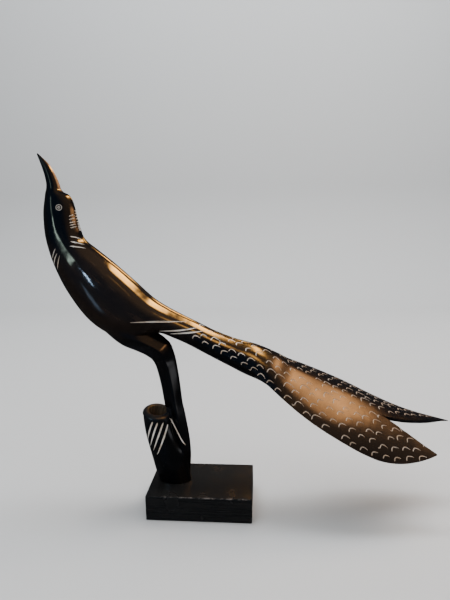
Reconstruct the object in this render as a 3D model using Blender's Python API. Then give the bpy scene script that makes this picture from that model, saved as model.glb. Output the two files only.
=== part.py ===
"""A long-tailed bird carved from one horn, standing on a black wooden plinth.

The bird is one solid: head, body, tail, thigh, leg and the hollow stump it perches on.
It is built from cuts, as a carver marks a blank, and the cuts are joined by a smooth skin.
+X runs from the beak to the tail, +Z is up, and the origin is the middle of the plinth's underside.
"""
import math

import bmesh
import bpy
import numpy as np

# Plinth, in metres
PLINTH_LENGTH = 0.080
PLINTH_DEPTH = 0.050
PLINTH_HEIGHT = 0.0195
PLINTH_EDGE = 0.0006      # worn round of its long edges
SEAT_GAP = 0.0003         # glue line between the stump and the plinth

# Bird, in metres
BIRD_LENGTH = 0.300       # from the beak's tip to the far end of the tail
FOOT_FROM_MIDDLE = -0.022  # the stump's foot stands towards the beak's end of the plinth
TAIL_WALL = 0.0042        # thickness of the horn along the middle of the hollow tail
LOBE_WALL = 0.0024        # and at the far end of its lobes
TAIL_LIP = 0.0016         # how far the tail's underside stops short of its edge
MOUTH_BORE = 0.0142       # inner diameter of the stump's open mouth
MOUTH_WALL = 0.0043       # horn left around that mouth
MOUTH_DEPTH = 0.016
MOUTH_TAPER = 0.8         # the hollow narrows to this share of its bore
MOUTH_ROUND_OUTER = 0.0026  # round of the mouth's rim on the outside
MOUTH_ROUND_INNER = 0.0010

# The bird's proportions are thousandths of its length, measured from the foot of the stump
UNIT = BIRD_LENGTH / 1000

# One cut across the body and the tail a line: the place of its middle (along, up and aside),
# how far it rises to the back and drops to the belly, half its width, and how far it leans
# towards the viewer's side, in degrees
BODY_CUTS = [
    (-306, 838, 0, 3, 3, 3, 0),          # beak's tip
    (-290, 812, 0, 10, 10, 7, 0),
    (-281, 790, 0, 13, 13, 10, 0),
    (-275, 766, 0, 16, 17, 13, 0),
    (-274, 754, 0, 19, 20, 16, 0),       # beak's root
    (-274, 746, 0, 32, 22, 19, 0),       # front of the crown
    (-273, 731, 0, 42, 26, 23, 0),
    (-271, 711, 0, 46, 32, 26, 0),       # eye
    (-266, 679, 0, 46, 39, 29, 0),       # nape
    (-258, 647, 0, 46, 46, 32, 0),
    (-241, 615, 0, 41, 58, 37, 0),
    (-213, 580, 0, 48, 75, 44, 0),       # shoulder
    (-170, 536, 0, 54, 92, 50, 0),
    (-117, 485, 0, 56, 97, 52, 0),       # breast
    (-69, 451, 0, 49, 80, 50, 0),        # loin, above the thigh
    (-20, 431, 0, 38, 33, 44, 0),
    (22, 415, 0, 32, 31, 38, 0),         # rump
    (60, 398, 0, 30, 31, 35, 3),
    (103, 377, 0, 29, 33, 35, 8),        # the slimmest part of the tail
    (159, 351, 0, 33, 36, 39, 14),
    (212, 330, 0, 38, 41, 47, 20),
    (252, 308, 0, 38, 28, 60, 23),       # the tail starts to spread
    (293, 284, 0, 30, 15, 75, 25),
    (365, 241, 0, 30, 13, 95, 26),
    (436, 202, 0, 34, 13, 105, 26),
    (502, 167, 0, 39, 13, 107, 26),      # bottom of the fork
    (600, 131, 3, 37, 13, 103, 23),
    (718, 108, 10, 37, 13, 98, 17),      # level with the far lobe's tip
]
HOLLOW_FROM = 21.0        # the tail's underside turns hollow after this cut
HOLLOW_TO = 23.5          # and is fully hollow by this place between two cuts
FORK_CUT = 25             # the lobes part at this cut
NEAR_LOBE_TO = 26.36      # where the near lobe ends, between two cuts
FAR_LOBE_TO = 26.97
LOBE_TIP = 0.60           # a lobe's tip lies this share of the way from the crest to the edge
LOBE_BLUNT = 0.03         # width left at the tip, as a share of half the tail's width
LOBE_CURVE = 2.2          # how full the lobe's outer edge is: 1 is straight
LOBE_INNER_CURVE = 1.6    # how full its inner edge is

# One cut across the thigh and the leg a line: its front corner and its rear corner (along and up
# for each), half its thickness, and where its side edge stands between the two corners
LEG_CUTS = [
    (-173, 409, -95, 458, 34, 0.50),     # inside the breast
    (-118, 363, -60, 421, 37, 0.50),
    (-85, 346, -31, 402, 34, 0.54),
    (-63, 334, -12, 388, 30, 0.56),
    (-51, 325, 3, 372, 28, 0.58),
    (-43, 312, 13, 342, 25, 0.60),       # knee
    (-37, 291, 19, 307, 21, 0.62),
    (-30, 257, 24, 265, 20, 0.64),
    (-24, 216, 29, 214, 20, 0.66),
    (-19, 181, 35, 182, 20, 0.66),
    (-8, 85, 47, 85, 19, 0.66),
    (-4, 6, 42, 6, 17, 0.66),            # foot, inside the stump
]
CORNER_TRIMS = (0.20, 0.07, 0.12, 0.07)  # shares trimmed off the front, near, rear and far corners
OVAL_TO, FACETS_FROM = 0.5, 4.5          # the thigh turns from oval to faceted between these cuts

# One cut across the stump a line: height, middle, half its length and half its depth
STUMP_CUTS = [
    (0, 2, 43, 25),
    (28, -4, 45, 29),
    (58, -9, 47, 32),
    (91, -16, 48, 34),
    (128, -29, 43, 35),
    (162, -37, 39, 36),
    (180, -39, 37, 36),
]
RIM_ALONG = -39                          # middle of the mouth's rim
RIM_HEIGHT = 192
RIM_LEAN = math.radians(-8)              # the rim dips towards the tail's side
RIM_FACING = math.radians(8)             # and towards the viewer's side

# Carved V strokes, in metres
STROKE_WIDTH = 0.0010
STROKE_DEPTH = 0.0005
STROKE_LIFT = 0.7                        # a cutter stands this share of its depth above the skin
STROKE_STEP = 0.0033

# Where a stroke starts and where it ends, each as a place between two body cuts and a turn round
# the cut (0 at the crest, 1 at the widest line, 2 under the belly); both sides carry them
STROKES = [
    (7.8, 0.46, 7.7, 0.18),              # nape
    (8.0, 0.46, 7.95, 0.19),
    (8.25, 0.49, 8.2, 0.21),
    (8.5, 0.52, 8.5, 0.24),
    (8.7, 0.56, 8.7, 0.26),
    (9.45, 0.65, 9.9, 0.36),             # neck
    (9.8, 0.69, 10.35, 0.36),
    (10.1, 0.80, 10.7, 0.40),
    (9.65, 1.28, 10.0, 1.86),            # breast
    (10.0, 1.28, 10.25, 1.80),
    (10.15, 1.24, 10.5, 1.58),
    (13.95, 1.24, 16.05, 0.60),          # rump
    (15.2, 1.28, 16.5, 0.68),
    (15.9, 1.28, 17.2, 0.44),
]
# On the stump: a place between two stump cuts, and degrees from the tail's side
STUMP_STROKES = [
    (5.8, -99, 3.6, -153),
    (5.7, -81, 3.3, -141),
    (5.6, -60, 3.0, -132),
    (5.2, -42, 2.75, -120),
]
NAPE_NOTCHES, FIRST_NOTCH, LAST_NOTCH, NOTCH_TURN = 8, 7.45, 9.15, 0.12
EYE_PLACE, EYE_TURN = 7.0, 0.76
EYE_RING = 0.0023                        # radius of the ring cut round the eye
EYE_DOT = 0.0006                         # half the length of the dot inside it

RING_STEP = 16                           # rings of faces stand about this far apart
CUTS_PER_GAP = 3                         # rings of faces between two cuts of the leg or the stump
TOP_FACES = 14                           # faces across the upper half of a cut
LOBE_RINGS = 8
STUMP_SIDES = 26
RIM_FACES = 3                            # faces across the round of the rim


def material(name, colour, roughness, metallic=0.0):
    made = bpy.data.materials.new(name)
    made.use_nodes = True
    shader = made.node_tree.nodes["Principled BSDF"]
    shader.inputs["Base Color"].default_value = (*colour, 1.0)
    shader.inputs["Roughness"].default_value = roughness
    shader.inputs["Metallic"].default_value = metallic
    return made


def add_object(name, shape, finish=None):
    """Makes an object from a bmesh, smooth where it is round and crisp where it is cut."""
    bmesh.ops.recalc_face_normals(shape, faces=shape.faces)
    mesh = bpy.data.meshes.new(name)
    shape.to_mesh(mesh)
    shape.free()
    mesh.shade_smooth()
    mesh.set_sharp_from_angle(angle=math.radians(35))
    thing = bpy.data.objects.new(name, mesh)
    bpy.context.scene.collection.objects.link(thing)
    if finish:
        mesh.materials.append(finish)
    return thing


def as_helper(thing):
    thing.hide_render = True
    thing.display_type = "WIRE"
    return thing


def combine(thing, helper, operation):
    """Joins a helper to a thing, or cuts it away."""
    step = thing.modifiers.new(helper.name, "BOOLEAN")
    step.operation = operation
    step.solver = "EXACT"
    step.object = as_helper(helper)


def smooth_through(rows, place):
    """The values at a place between two rows, on a smooth curve through all of them."""
    rows = np.asarray(rows, float)
    first = min(int(place), len(rows) - 2)
    share = place - first
    steps = np.linalg.norm(np.diff(rows[:, :2], axis=0), axis=1)

    def slope(row):
        before, after = max(row - 1, 0), min(row, len(steps) - 1)
        left = (rows[before + 1] - rows[before]) / steps[before]
        right = (rows[after + 1] - rows[after]) / steps[after]
        return (left * steps[after] + right * steps[before]) / (steps[before] + steps[after])

    gap = steps[first]
    return (rows[first] * (2 * share**3 - 3 * share**2 + 1)
            + slope(first) * gap * (share**3 - 2 * share**2 + share)
            + rows[first + 1] * (3 * share**2 - 2 * share**3)
            + slope(first + 1) * gap * (share**3 - share**2))


def ease(share):
    """0 before the start, 1 after the end, and a soft change between."""
    share = min(max(share, 0.0), 1.0)
    return share * share * (3 - 2 * share)


def arc(half, rise, across):
    """A point of half a cut: part of an ellipse where it is deep, of a circle where it is shallow."""
    span = max(2 * math.atan(min(abs(rise) / half, 1.0)), 0.02)
    side = half * math.sin(span * across) / math.sin(span)
    height = rise * (math.cos(span * across) - math.cos(span)) / (1 - math.cos(span))
    return side, height


def body_frame(place):
    """The middle of a cut through the body or tail, and its directions aside and up."""
    middle = smooth_through(BODY_CUTS, place)
    ahead = smooth_through(BODY_CUTS, min(place + 0.05, len(BODY_CUTS) - 1))
    behind = smooth_through(BODY_CUTS, max(place - 0.05, 0))
    run = (ahead - behind)[[0, 2, 1]]
    run /= np.linalg.norm(run)
    aside = np.array([0.0, 1.0, 0.0]) - run * run[1]
    aside /= np.linalg.norm(aside)
    up = np.cross(run, aside)
    lean = math.radians(middle[6])
    return (middle, aside * math.cos(lean) + up * math.sin(lean),
            up * math.cos(lean) - aside * math.sin(lean))


def skin_ring(place, shares, pivot=0.0):
    """Points round a cut: over the top through the given shares, then back underneath.

    A share is -1 at the near edge, 0 at the crest and 1 at the far edge. The underside meets the
    top at the shares farthest from the pivot, so it has no points of its own there.
    """
    middle, aside, up = body_frame(place)
    centre = middle[[0, 2, 1]] * UNIT
    rise, drop, half = middle[3:6] * UNIT
    hollow = ease((place - HOLLOW_FROM) / (HOLLOW_TO - HOLLOW_FROM))
    wall = TAIL_WALL + (LOBE_WALL - TAIL_WALL) * ease((place - HOLLOW_TO) / (FAR_LOBE_TO - HOLLOW_TO))
    drop += hollow * (wall - rise - drop)

    ring = [arc(half, rise, share) for share in shares]
    reach = max(abs(share - pivot) for share in shares)
    spread = 1 + hollow / (TOP_FACES / 2 - 1)
    for share in reversed(shares):
        if abs(share - pivot) < reach * (1 - 1e-6):
            ring.append(arc(half - TAIL_LIP * hollow, -drop, pivot + (share - pivot) * spread))
    return [centre + aside * side + up * height for side, height in ring]


def lobe_shares(side, way):
    """Shares from the outer to the inner edge of a lobe, part of the way to its tip."""
    inner = LOBE_TIP * way**LOBE_INNER_CURVE
    outer = LOBE_TIP + (1 - LOBE_TIP) * (1 - way**LOBE_CURVE) + LOBE_BLUNT * way
    faces = TOP_FACES // 2
    return [side * (outer + (inner - outer) * step / faces) for step in range(faces + 1)]


def add_ring(shape, points):
    return [shape.verts.new(point) for point in points]


def join_rings(shape, first, second):
    for step in range(len(first)):
        after = (step + 1) % len(first)
        shape.faces.new((first[step], first[after], second[after], second[step]))


def middle_of(ring):
    return np.mean([corner.co for corner in ring], axis=0)


def close_ring(shape, ring, bulge=(0, 0, 0)):
    tip = shape.verts.new(middle_of(ring) + np.array(bulge))
    for step in range(len(ring)):
        shape.faces.new((ring[step], ring[(step + 1) % len(ring)], tip))


def skin_through(shape, rings):
    """A closed skin through rings of points, with a flat cap on both ends."""
    rings = [add_ring(shape, ring) for ring in rings]
    for first, second in zip(rings, rings[1:]):
        join_rings(shape, first, second)
    close_ring(shape, rings[0])
    close_ring(shape, rings[-1])
    return shape


def body_shape():
    """Head, body and tail as one skin, with the two lobes growing from the last full ring."""
    shape = bmesh.new()
    shares = [2 * step / TOP_FACES - 1 for step in range(TOP_FACES + 1)]
    places = [0.0]
    for gap in range(FORK_CUT):
        run = math.dist(BODY_CUTS[gap][:2], BODY_CUTS[gap + 1][:2])
        rings = max(2, round(run / RING_STEP))
        places += [gap + step / rings for step in range(1, rings + 1)]
    rings = [add_ring(shape, skin_ring(place, shares)) for place in places]
    for first, second in zip(rings, rings[1:]):
        join_rings(shape, first, second)
    close_ring(shape, rings[0], (middle_of(rings[0]) - middle_of(rings[1])) / 2)

    fork = rings[-1]
    half, under = TOP_FACES // 2, TOP_FACES + 1
    near_half = fork[:half + 1] + fork[under + half - 1:]
    far_half = fork[half:under + half]
    for side, last, end in ((-1, near_half, NEAR_LOBE_TO), (1, far_half, FAR_LOBE_TO)):
        for step in range(1, LOBE_RINGS + 1):
            way = step / LOBE_RINGS
            shares = lobe_shares(side, way)
            inner = shares[-1]
            place = FORK_CUT + (end - FORK_CUT) * way
            ring = add_ring(shape, skin_ring(place, sorted(shares), inner))
            join_rings(shape, last, ring)
            last = ring
        close_ring(shape, last)
    return shape


def leg_ring(cut, roundness):
    """A cut of trimmed front, side and rear corners with flats between, drawn out to an oval."""
    front, rear = np.array([cut[0], 0, cut[1]]), np.array([cut[2], 0, cut[3]])
    side = front + (rear - front) * cut[5]
    out = np.array([0, cut[4], 0])
    corners = [front, side - out, rear, side + out]
    middle, long = (front + rear) / 2, (rear - front) / 2
    ring = []
    for step in range(4):
        before, corner, after = corners[step - 1], corners[step], corners[(step + 1) % 4]
        trim = CORNER_TRIMS[step]
        ring += [corner + (before - corner) * trim, corner + (after - corner) * trim, (corner + after) / 2]
    for step, point in enumerate(ring):
        share, across = np.dot(point - middle, long) / np.dot(long, long), point[1] / cut[4]
        oval = middle + (long * share + out * across) / math.hypot(share, across)
        ring[step] = (point + (oval - point) * roundness) * UNIT
    return ring


def leg_shape():
    """Thigh, knee and leg as one long bar: oval where it leaves the body, faceted from the knee."""
    rings = []
    for step in range((len(LEG_CUTS) - 1) * CUTS_PER_GAP + 1):
        place = step / CUTS_PER_GAP
        facets = ease((place - OVAL_TO) / (FACETS_FROM - OVAL_TO))
        rings.append(leg_ring(smooth_through(LEG_CUTS, place), 1 - facets))
    return skin_through(bmesh.new(), rings)


def stump_point(middle, height, half, depth, turn, tilt=1.0):
    """A point round the stump, on a cut tilted by a share of the rim's lean and facing."""
    lean, facing = RIM_LEAN * tilt, RIM_FACING * tilt
    reach, out = half * math.cos(turn), depth * math.sin(turn)
    return np.array([middle + reach * math.cos(lean), out * math.cos(facing),
                     height + reach * math.sin(lean) + out * math.sin(facing)])


def stump_skin(place, turn):
    height, middle, half, depth = smooth_through(STUMP_CUTS, place) * UNIT
    return stump_point(middle, height, half, depth, turn, ease(place / (len(STUMP_CUTS) - 1)))


def stump_shape():
    """The stump: an oval post that leans towards the beak, with a round open mouth on top."""
    turns = [2 * math.pi * step / STUMP_SIDES for step in range(STUMP_SIDES)]
    steps = (len(STUMP_CUTS) - 1) * CUTS_PER_GAP
    rings = [[stump_skin(step / CUTS_PER_GAP, turn) for turn in turns] for step in range(steps + 1)]

    bore, outer = MOUTH_BORE / 2, MOUTH_BORE / 2 + MOUTH_WALL
    quarter = [math.pi / 2 * step / RIM_FACES for step in range(RIM_FACES + 1)]
    wide, small = MOUTH_ROUND_OUTER, MOUTH_ROUND_INNER
    profile = [(outer - wide * (1 - math.cos(turn)), wide * (1 - math.sin(turn))) for turn in quarter]
    profile += [(bore + small * (1 - math.sin(turn)), small * (1 - math.cos(turn))) for turn in quarter]
    profile.append((bore * MOUTH_TAPER, MOUTH_DEPTH))
    for radius, below in profile:
        middle = RIM_ALONG * UNIT + below * math.sin(RIM_LEAN)
        height = RIM_HEIGHT * UNIT - below * math.cos(RIM_LEAN)
        rings.append([stump_point(middle, height, radius, radius, turn) for turn in turns])
    return skin_through(bmesh.new(), rings)


def body_skin(place, turn):
    """A point of the body's skin; a turn below 0 is on the far side."""
    middle, aside, up = body_frame(place)
    rise, drop, half = middle[3:6] * UNIT
    if abs(turn) <= 1:
        side, height = arc(half, rise, -turn)
    else:
        side, height = arc(half, -drop, abs(turn) / turn * (abs(turn) - 2))
    return middle[[0, 2, 1]] * UNIT + aside * side + up * height


def skin_slopes(skin, place, turn):
    """A point of a skin, how it moves with place and turn, and which way is out."""
    point = skin(place, turn)
    along = (skin(place + 0.05, turn) - skin(place - 0.05, turn)) / 0.1
    round_it = (skin(place, turn + 0.1) - skin(place, turn - 0.1)) / 0.2
    out = np.cross(round_it, along)
    return point, along, round_it, out / np.linalg.norm(out)


def add_groove(shape, skin, path, closed=False):
    """A cutter along a path of places and turns: a V that runs out at both of its ends."""
    path = [skin_slopes(skin, *stop) for stop in path]
    count = len(path)
    lift = STROKE_DEPTH * STROKE_LIFT
    rings = []
    for step, (point, _, _, out) in enumerate(path):
        before, after = max(step - 1, 0), min(step + 1, count - 1)
        if closed:
            before, after = step - 1, (step + 1) % count
        aside = np.cross(path[after][0] - path[before][0], out)
        aside *= STROKE_WIDTH / 2 * (1 + lift / STROKE_DEPTH) / np.linalg.norm(aside)
        top = point + out * lift
        rings.append(add_ring(shape, [top + aside, top - aside, point - out * STROKE_DEPTH]))
    if closed:
        rings.append(rings[0])
    else:
        rings = rings[1:-1]
    for first, second in zip(rings, rings[1:]):
        join_rings(shape, first, second)
    if not closed:
        for ring, (point, _, _, out) in ((rings[0], path[0]), (rings[-1], path[-1])):
            tip = shape.verts.new(point + out * lift)
            for step in range(3):
                shape.faces.new((ring[step], ring[(step + 1) % 3], tip))


def stroke_path(skin, start, end, edge=None):
    """Stops from start to end, with one at the turn of an edge that the stroke crosses."""
    steps = max(4, round(math.dist(skin(*start), skin(*end)) / STROKE_STEP))
    start, end = np.array(start), np.array(end)
    ways = [step / steps for step in range(steps + 1)]
    if edge is not None:
        crossing = (edge - start[1]) / (end[1] - start[1])
        if 0 < crossing < 1:
            ways = sorted([way for way in ways if abs(way - crossing) > 0.4 / steps] + [crossing])
    return [start + (end - start) * way for way in ways]


def carving_shape():
    """Every V cut of the bird in one helper: strokes, notches on the nape and the eyes."""
    shape = bmesh.new()
    for side in (1, -1):
        for place, turn, end_place, end_turn in STROKES:
            start, end = (place, side * turn), (end_place, side * end_turn)
            add_groove(shape, body_skin, stroke_path(body_skin, start, end, edge=side))
        _, along, round_it, out = skin_slopes(body_skin, EYE_PLACE, side * EYE_TURN)
        slopes = np.array([along, round_it]).T
        ahead = along / np.linalg.norm(along)
        across = np.cross(out, ahead)
        eye = np.array([EYE_PLACE, side * EYE_TURN])

        def eye_stop(radius, angle):
            move = radius * (ahead * math.cos(angle) + across * math.sin(angle))
            return eye + np.linalg.lstsq(slopes, move, rcond=None)[0]

        add_groove(shape, body_skin, [eye_stop(EYE_RING, math.pi * step / 10) for step in range(20)], True)
        add_groove(shape, body_skin, [eye_stop(EYE_DOT, 0), eye, eye_stop(EYE_DOT, math.pi)])
    for step in range(NAPE_NOTCHES):
        place = FIRST_NOTCH + (LAST_NOTCH - FIRST_NOTCH) * step / (NAPE_NOTCHES - 1)
        add_groove(shape, body_skin, stroke_path(body_skin, (place, NOTCH_TURN), (place, -NOTCH_TURN)))
    for place, turn, end_place, end_turn in STUMP_STROKES:
        start, end = (place, math.radians(turn)), (end_place, math.radians(end_turn))
        add_groove(shape, stump_skin, stroke_path(stump_skin, start, end))
    return shape


def make_bird(finish):
    """One carving: the body's skin joined with the leg and the stump it grips."""
    bird = add_object("bird", body_shape(), finish)
    leg = add_object("leg_helper", leg_shape())
    stump = add_object("stump_helper", stump_shape())
    carving = add_object("carving_helper", carving_shape())
    for thing in (bird, leg, stump, carving):
        thing.location = (FOOT_FROM_MIDDLE, 0, PLINTH_HEIGHT + SEAT_GAP)
    combine(bird, leg, "UNION")
    combine(bird, stump, "UNION")
    combine(bird, carving, "DIFFERENCE")
    return bird


def make_plinth(finish):
    """A plain wooden block whose edges are worn a little round."""
    shape = bmesh.new()
    bmesh.ops.create_cube(shape, size=1)
    bmesh.ops.scale(shape, vec=(PLINTH_LENGTH, PLINTH_DEPTH, PLINTH_HEIGHT), verts=shape.verts)
    bmesh.ops.translate(shape, vec=(0, 0, PLINTH_HEIGHT / 2), verts=shape.verts)
    plinth = add_object("plinth", shape, finish)
    worn = plinth.modifiers.new("worn edges", "BEVEL")
    worn.width = PLINTH_EDGE
    worn.segments = 2
    return plinth


for thing in list(bpy.data.objects):
    bpy.data.objects.remove(thing)
make_plinth(material("black painted wood", (0.012, 0.011, 0.011), 0.35))
make_bird(material("polished horn", (0.015, 0.012, 0.010), 0.18))
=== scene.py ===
# %% [markdown]
# # A long-tailed bird carved from one horn
# The object is a shelf figure: a slender bird, beak raised and forked tail held low, gripping a
# hollow stump, all cut from one tip of near-black horn and glued on a black wooden plinth.
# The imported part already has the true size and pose. This notebook gives it what is too fine for
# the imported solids: a smooth polished skin, the engraved feather marks and the looks of horn and
# painted wood. Every cell adds one thing and prints what it made.

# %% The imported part
import math

import bmesh
import bpy
import numpy as np
from mathutils import Matrix, Vector
from mathutils.bvhtree import BVHTree


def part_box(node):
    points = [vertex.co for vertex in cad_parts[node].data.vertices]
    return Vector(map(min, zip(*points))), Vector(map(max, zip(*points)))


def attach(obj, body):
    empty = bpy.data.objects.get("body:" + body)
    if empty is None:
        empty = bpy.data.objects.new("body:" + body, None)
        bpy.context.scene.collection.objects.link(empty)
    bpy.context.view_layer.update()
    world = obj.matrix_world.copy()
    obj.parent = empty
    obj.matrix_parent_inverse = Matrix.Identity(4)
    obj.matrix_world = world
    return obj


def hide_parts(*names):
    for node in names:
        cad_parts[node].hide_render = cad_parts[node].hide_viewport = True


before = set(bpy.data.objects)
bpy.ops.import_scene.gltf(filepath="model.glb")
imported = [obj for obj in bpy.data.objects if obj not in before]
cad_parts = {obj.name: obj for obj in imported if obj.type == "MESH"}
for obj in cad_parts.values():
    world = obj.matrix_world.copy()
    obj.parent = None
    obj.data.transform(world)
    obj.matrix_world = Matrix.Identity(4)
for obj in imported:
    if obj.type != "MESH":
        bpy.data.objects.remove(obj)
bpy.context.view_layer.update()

print("nodes:", sorted(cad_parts))

# %% [markdown]
# ## The carver's cuts
# A carver starts from a profile sawn out of the blank and then rounds it cut by cut. The tables
# below say the same thing in numbers: where the middle of each cut lies, how far it rises to the
# back and drops to the belly, how wide it is and how far it leans. Lengths in them are thousandths
# of the bird's length, read from the photograph.

# %% Tables of cuts
UNIT = 0.300 / 1000
FOOT = np.array([-0.022, 0.0, 0.0198])  # where the stump stands, a glue line over the plinth

# along, up, aside, rise, drop, half width, lean in degrees
BODY_CUTS = [
    (-306, 838, 0, 3, 3, 3, 0),          # beak's tip
    (-290, 812, 0, 10, 10, 7, 0),
    (-281, 790, 0, 13, 13, 10, 0),
    (-275, 766, 0, 16, 17, 13, 0),
    (-274, 754, 0, 19, 20, 16, 0),       # beak's root
    (-274, 746, 0, 32, 22, 19, 0),       # front of the crown
    (-273, 731, 0, 42, 26, 23, 0),
    (-271, 711, 0, 46, 32, 26, 0),       # eye
    (-266, 679, 0, 46, 39, 29, 0),       # nape
    (-258, 647, 0, 46, 46, 32, 0),
    (-241, 615, 0, 41, 58, 37, 0),
    (-213, 580, 0, 48, 75, 44, 0),       # shoulder
    (-170, 536, 0, 54, 92, 50, 0),
    (-117, 485, 0, 56, 97, 52, 0),       # breast
    (-69, 451, 0, 49, 80, 50, 0),        # loin, above the thigh
    (-20, 431, 0, 38, 33, 44, 0),
    (22, 415, 0, 32, 31, 38, 0),         # rump
    (60, 398, 0, 30, 31, 35, 3),
    (103, 377, 0, 29, 33, 35, 8),        # the slimmest part of the tail
    (159, 351, 0, 33, 36, 39, 14),
    (212, 330, 0, 38, 41, 47, 20),
    (252, 308, 0, 38, 28, 60, 23),       # the tail starts to spread
    (293, 284, 0, 30, 15, 75, 25),
    (365, 241, 0, 30, 13, 95, 26),
    (436, 202, 0, 34, 13, 105, 26),
    (502, 167, 0, 39, 13, 107, 26),      # bottom of the fork
    (600, 131, 3, 37, 13, 103, 23),
    (718, 108, 10, 37, 13, 98, 17),      # level with the far lobe's tip
]
# A place counts along the cuts: 0 is the beak's tip, 1 the second cut, and so on.
HOLLOW_FROM, HOLLOW_TO = 21.0, 23.5  # the underside turns hollow between these places
FORK_CUT, NEAR_LOBE_TO, FAR_LOBE_TO = 25, 26.36, 26.97
# metres: the horn's thickness in tail and lobes, and how far the hollow keeps off the edge
TAIL_WALL, LOBE_WALL, TAIL_LIP = 0.0042, 0.0024, 0.0016
LOBE_TIP, LOBE_BLUNT = 0.60, 0.03  # shares of half the tail's width
LOBE_CURVE, LOBE_INNER_CURVE = 2.2, 1.6  # a higher power bends an edge later

# front corner, rear corner (along and up for each), half thickness, place of the side edge
LEG_CUTS = [
    (-173, 409, -95, 458, 34, 0.50),     # inside the breast
    (-118, 363, -60, 421, 37, 0.50),
    (-85, 346, -31, 402, 34, 0.54),
    (-63, 334, -12, 388, 30, 0.56),
    (-51, 325, 3, 372, 28, 0.58),
    (-43, 312, 13, 342, 25, 0.60),       # knee
    (-37, 291, 19, 307, 21, 0.62),
    (-30, 257, 24, 265, 20, 0.64),
    (-24, 216, 29, 214, 20, 0.66),
    (-19, 181, 35, 182, 20, 0.66),
    (-8, 85, 47, 85, 19, 0.66),
    (-4, 6, 42, 6, 17, 0.66),            # foot, inside the stump
]
CORNER_TRIMS = (0.20, 0.07, 0.12, 0.07)  # share of its sides that each corner's rounding takes
OVAL_TO, FACETS_FROM = 0.3, 2.6  # the oval thigh gets its facets between these places

# height, middle, half its length, half its depth
STUMP_CUTS = [
    (0, 2, 43, 25),
    (28, -4, 45, 29),
    (58, -9, 47, 32),
    (91, -16, 48, 34),
    (128, -29, 43, 35),
    (162, -37, 39, 36.5),
    (180, -39, 38, 37.5),
]
RIM_ALONG, RIM_HEIGHT = -39, 192  # the rim's middle
RIM_LEAN, RIM_FACING = math.radians(-8), math.radians(8)
# metres, but for the taper, which is the floor's width as a share of the mouth's
MOUTH_BORE, MOUTH_WALL, MOUTH_DEPTH, MOUTH_TAPER = 0.0142, 0.0043, 0.016, 0.8
MOUTH_ROUND_OUTER, MOUTH_ROUND_INNER = 0.0025, 0.0006
print(len(BODY_CUTS), "cuts of the body,", len(LEG_CUTS), "of the leg,",
      len(STUMP_CUTS), "of the stump")

# %% [markdown]
# ## A fair curve through the cuts
# Polished horn mirrors its surroundings, so the smallest kink between two cuts would show as a
# bend in a highlight. A curve through the cuts is therefore laid first and then faired: sampled
# closely and averaged over a short stretch, the way sandpaper evens out what the rasp left.

# %% Fair curves
SAMPLES = 60  # samples between two cuts


def through(rows, place):
    """Values at a place between two rows, on a curve through all of them."""
    rows = np.asarray(rows, float)
    first = min(int(place), len(rows) - 2)
    share = place - first
    steps = np.linalg.norm(np.diff(rows[:, :2], axis=0), axis=1)

    def slope(row):
        before, after = max(row - 1, 0), min(row, len(steps) - 1)
        left = (rows[before + 1] - rows[before]) / steps[before]
        right = (rows[after + 1] - rows[after]) / steps[after]
        return (left * steps[after] + right * steps[before]) / (steps[before] + steps[after])

    gap = steps[first]
    return (rows[first] * (2 * share**3 - 3 * share**2 + 1)
            + slope(first) * gap * (share**3 - 2 * share**2 + share)
            + rows[first + 1] * (3 * share**2 - 2 * share**3)
            + slope(first + 1) * gap * (share**3 - share**2))


def faired(rows, reach):
    """The curve sampled closely and averaged over a reach of so many rows on each side."""
    count = (len(rows) - 1) * SAMPLES + 1
    values = np.array([through(rows, step / SAMPLES) for step in range(count)])
    window = np.hanning(2 * int(reach * SAMPLES) + 3)
    half = len(window) // 2
    ends = 2 * values[0] - values[half:0:-1], 2 * values[-1] - values[-2:-half - 2:-1]
    padded = np.concatenate((ends[0], values, ends[1]))
    smooth = [np.convolve(column, window / window.sum(), "valid") for column in padded.T]
    return np.array(smooth).T


body_curve = faired(BODY_CUTS, 0.45)
leg_curve = faired(LEG_CUTS, 0.12)
stump_curve = faired(STUMP_CUTS, 0.4)


def look_up(curve, place):
    """Values of a faired curve at a place."""
    at = min(max(place * SAMPLES, 0.0), len(curve) - 1.0)
    low = min(int(at), len(curve) - 2)
    return curve[low] + (curve[low + 1] - curve[low]) * (at - low)


def ease(share):
    """A share between 0 and 1 that starts and stops gently."""
    share = min(max(share, 0.0), 1.0)
    return share * share * (3 - 2 * share)


print("faired curves of", len(body_curve), "+", len(leg_curve), "+", len(stump_curve), "samples")

# %% [markdown]
# ## The skin of the body and tail
# Each cut is an oval where the body is deep and a flat arch where the tail spreads. Under the
# spread tail the horn is hollowed out, as a carver does to make it light, and the last stretch
# parts into a shorter near lobe and a longer far lobe. A point of the skin is addressed by its
# place along the cuts and its turn round them, and the engraving later uses the same address.

# %% Skin functions
TOP_FACES = 44  # faces across the upper half of a cut
FLATTEST_ARCH = 0.02  # radians that even a flat arch is bent by
RUN_REACH = 0.06  # cuts before and behind that give the way along


def arc(half, rise, across):
    """A point of an arch, from -1 at its one foot to 1 at the other."""
    span = max(2 * math.atan(min(abs(rise) / half, 1.0)), FLATTEST_ARCH)
    side = half * math.sin(span * across) / math.sin(span)
    return side, rise * (math.cos(span * across) - math.cos(span)) / (1 - math.cos(span))


def body_frame(place):
    """Values of a cut and its directions aside and up, with the lean."""
    values = look_up(body_curve, place)
    run = look_up(body_curve, place + RUN_REACH) - look_up(body_curve, place - RUN_REACH)
    run = run[[0, 2, 1]]
    run /= np.linalg.norm(run)
    aside = np.array([0.0, 1.0, 0.0]) - run * run[1]
    aside /= np.linalg.norm(aside)
    up = np.cross(run, aside)
    lean = math.radians(values[6])
    return (values, aside * math.cos(lean) + up * math.sin(lean),
            up * math.cos(lean) - aside * math.sin(lean))


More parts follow.
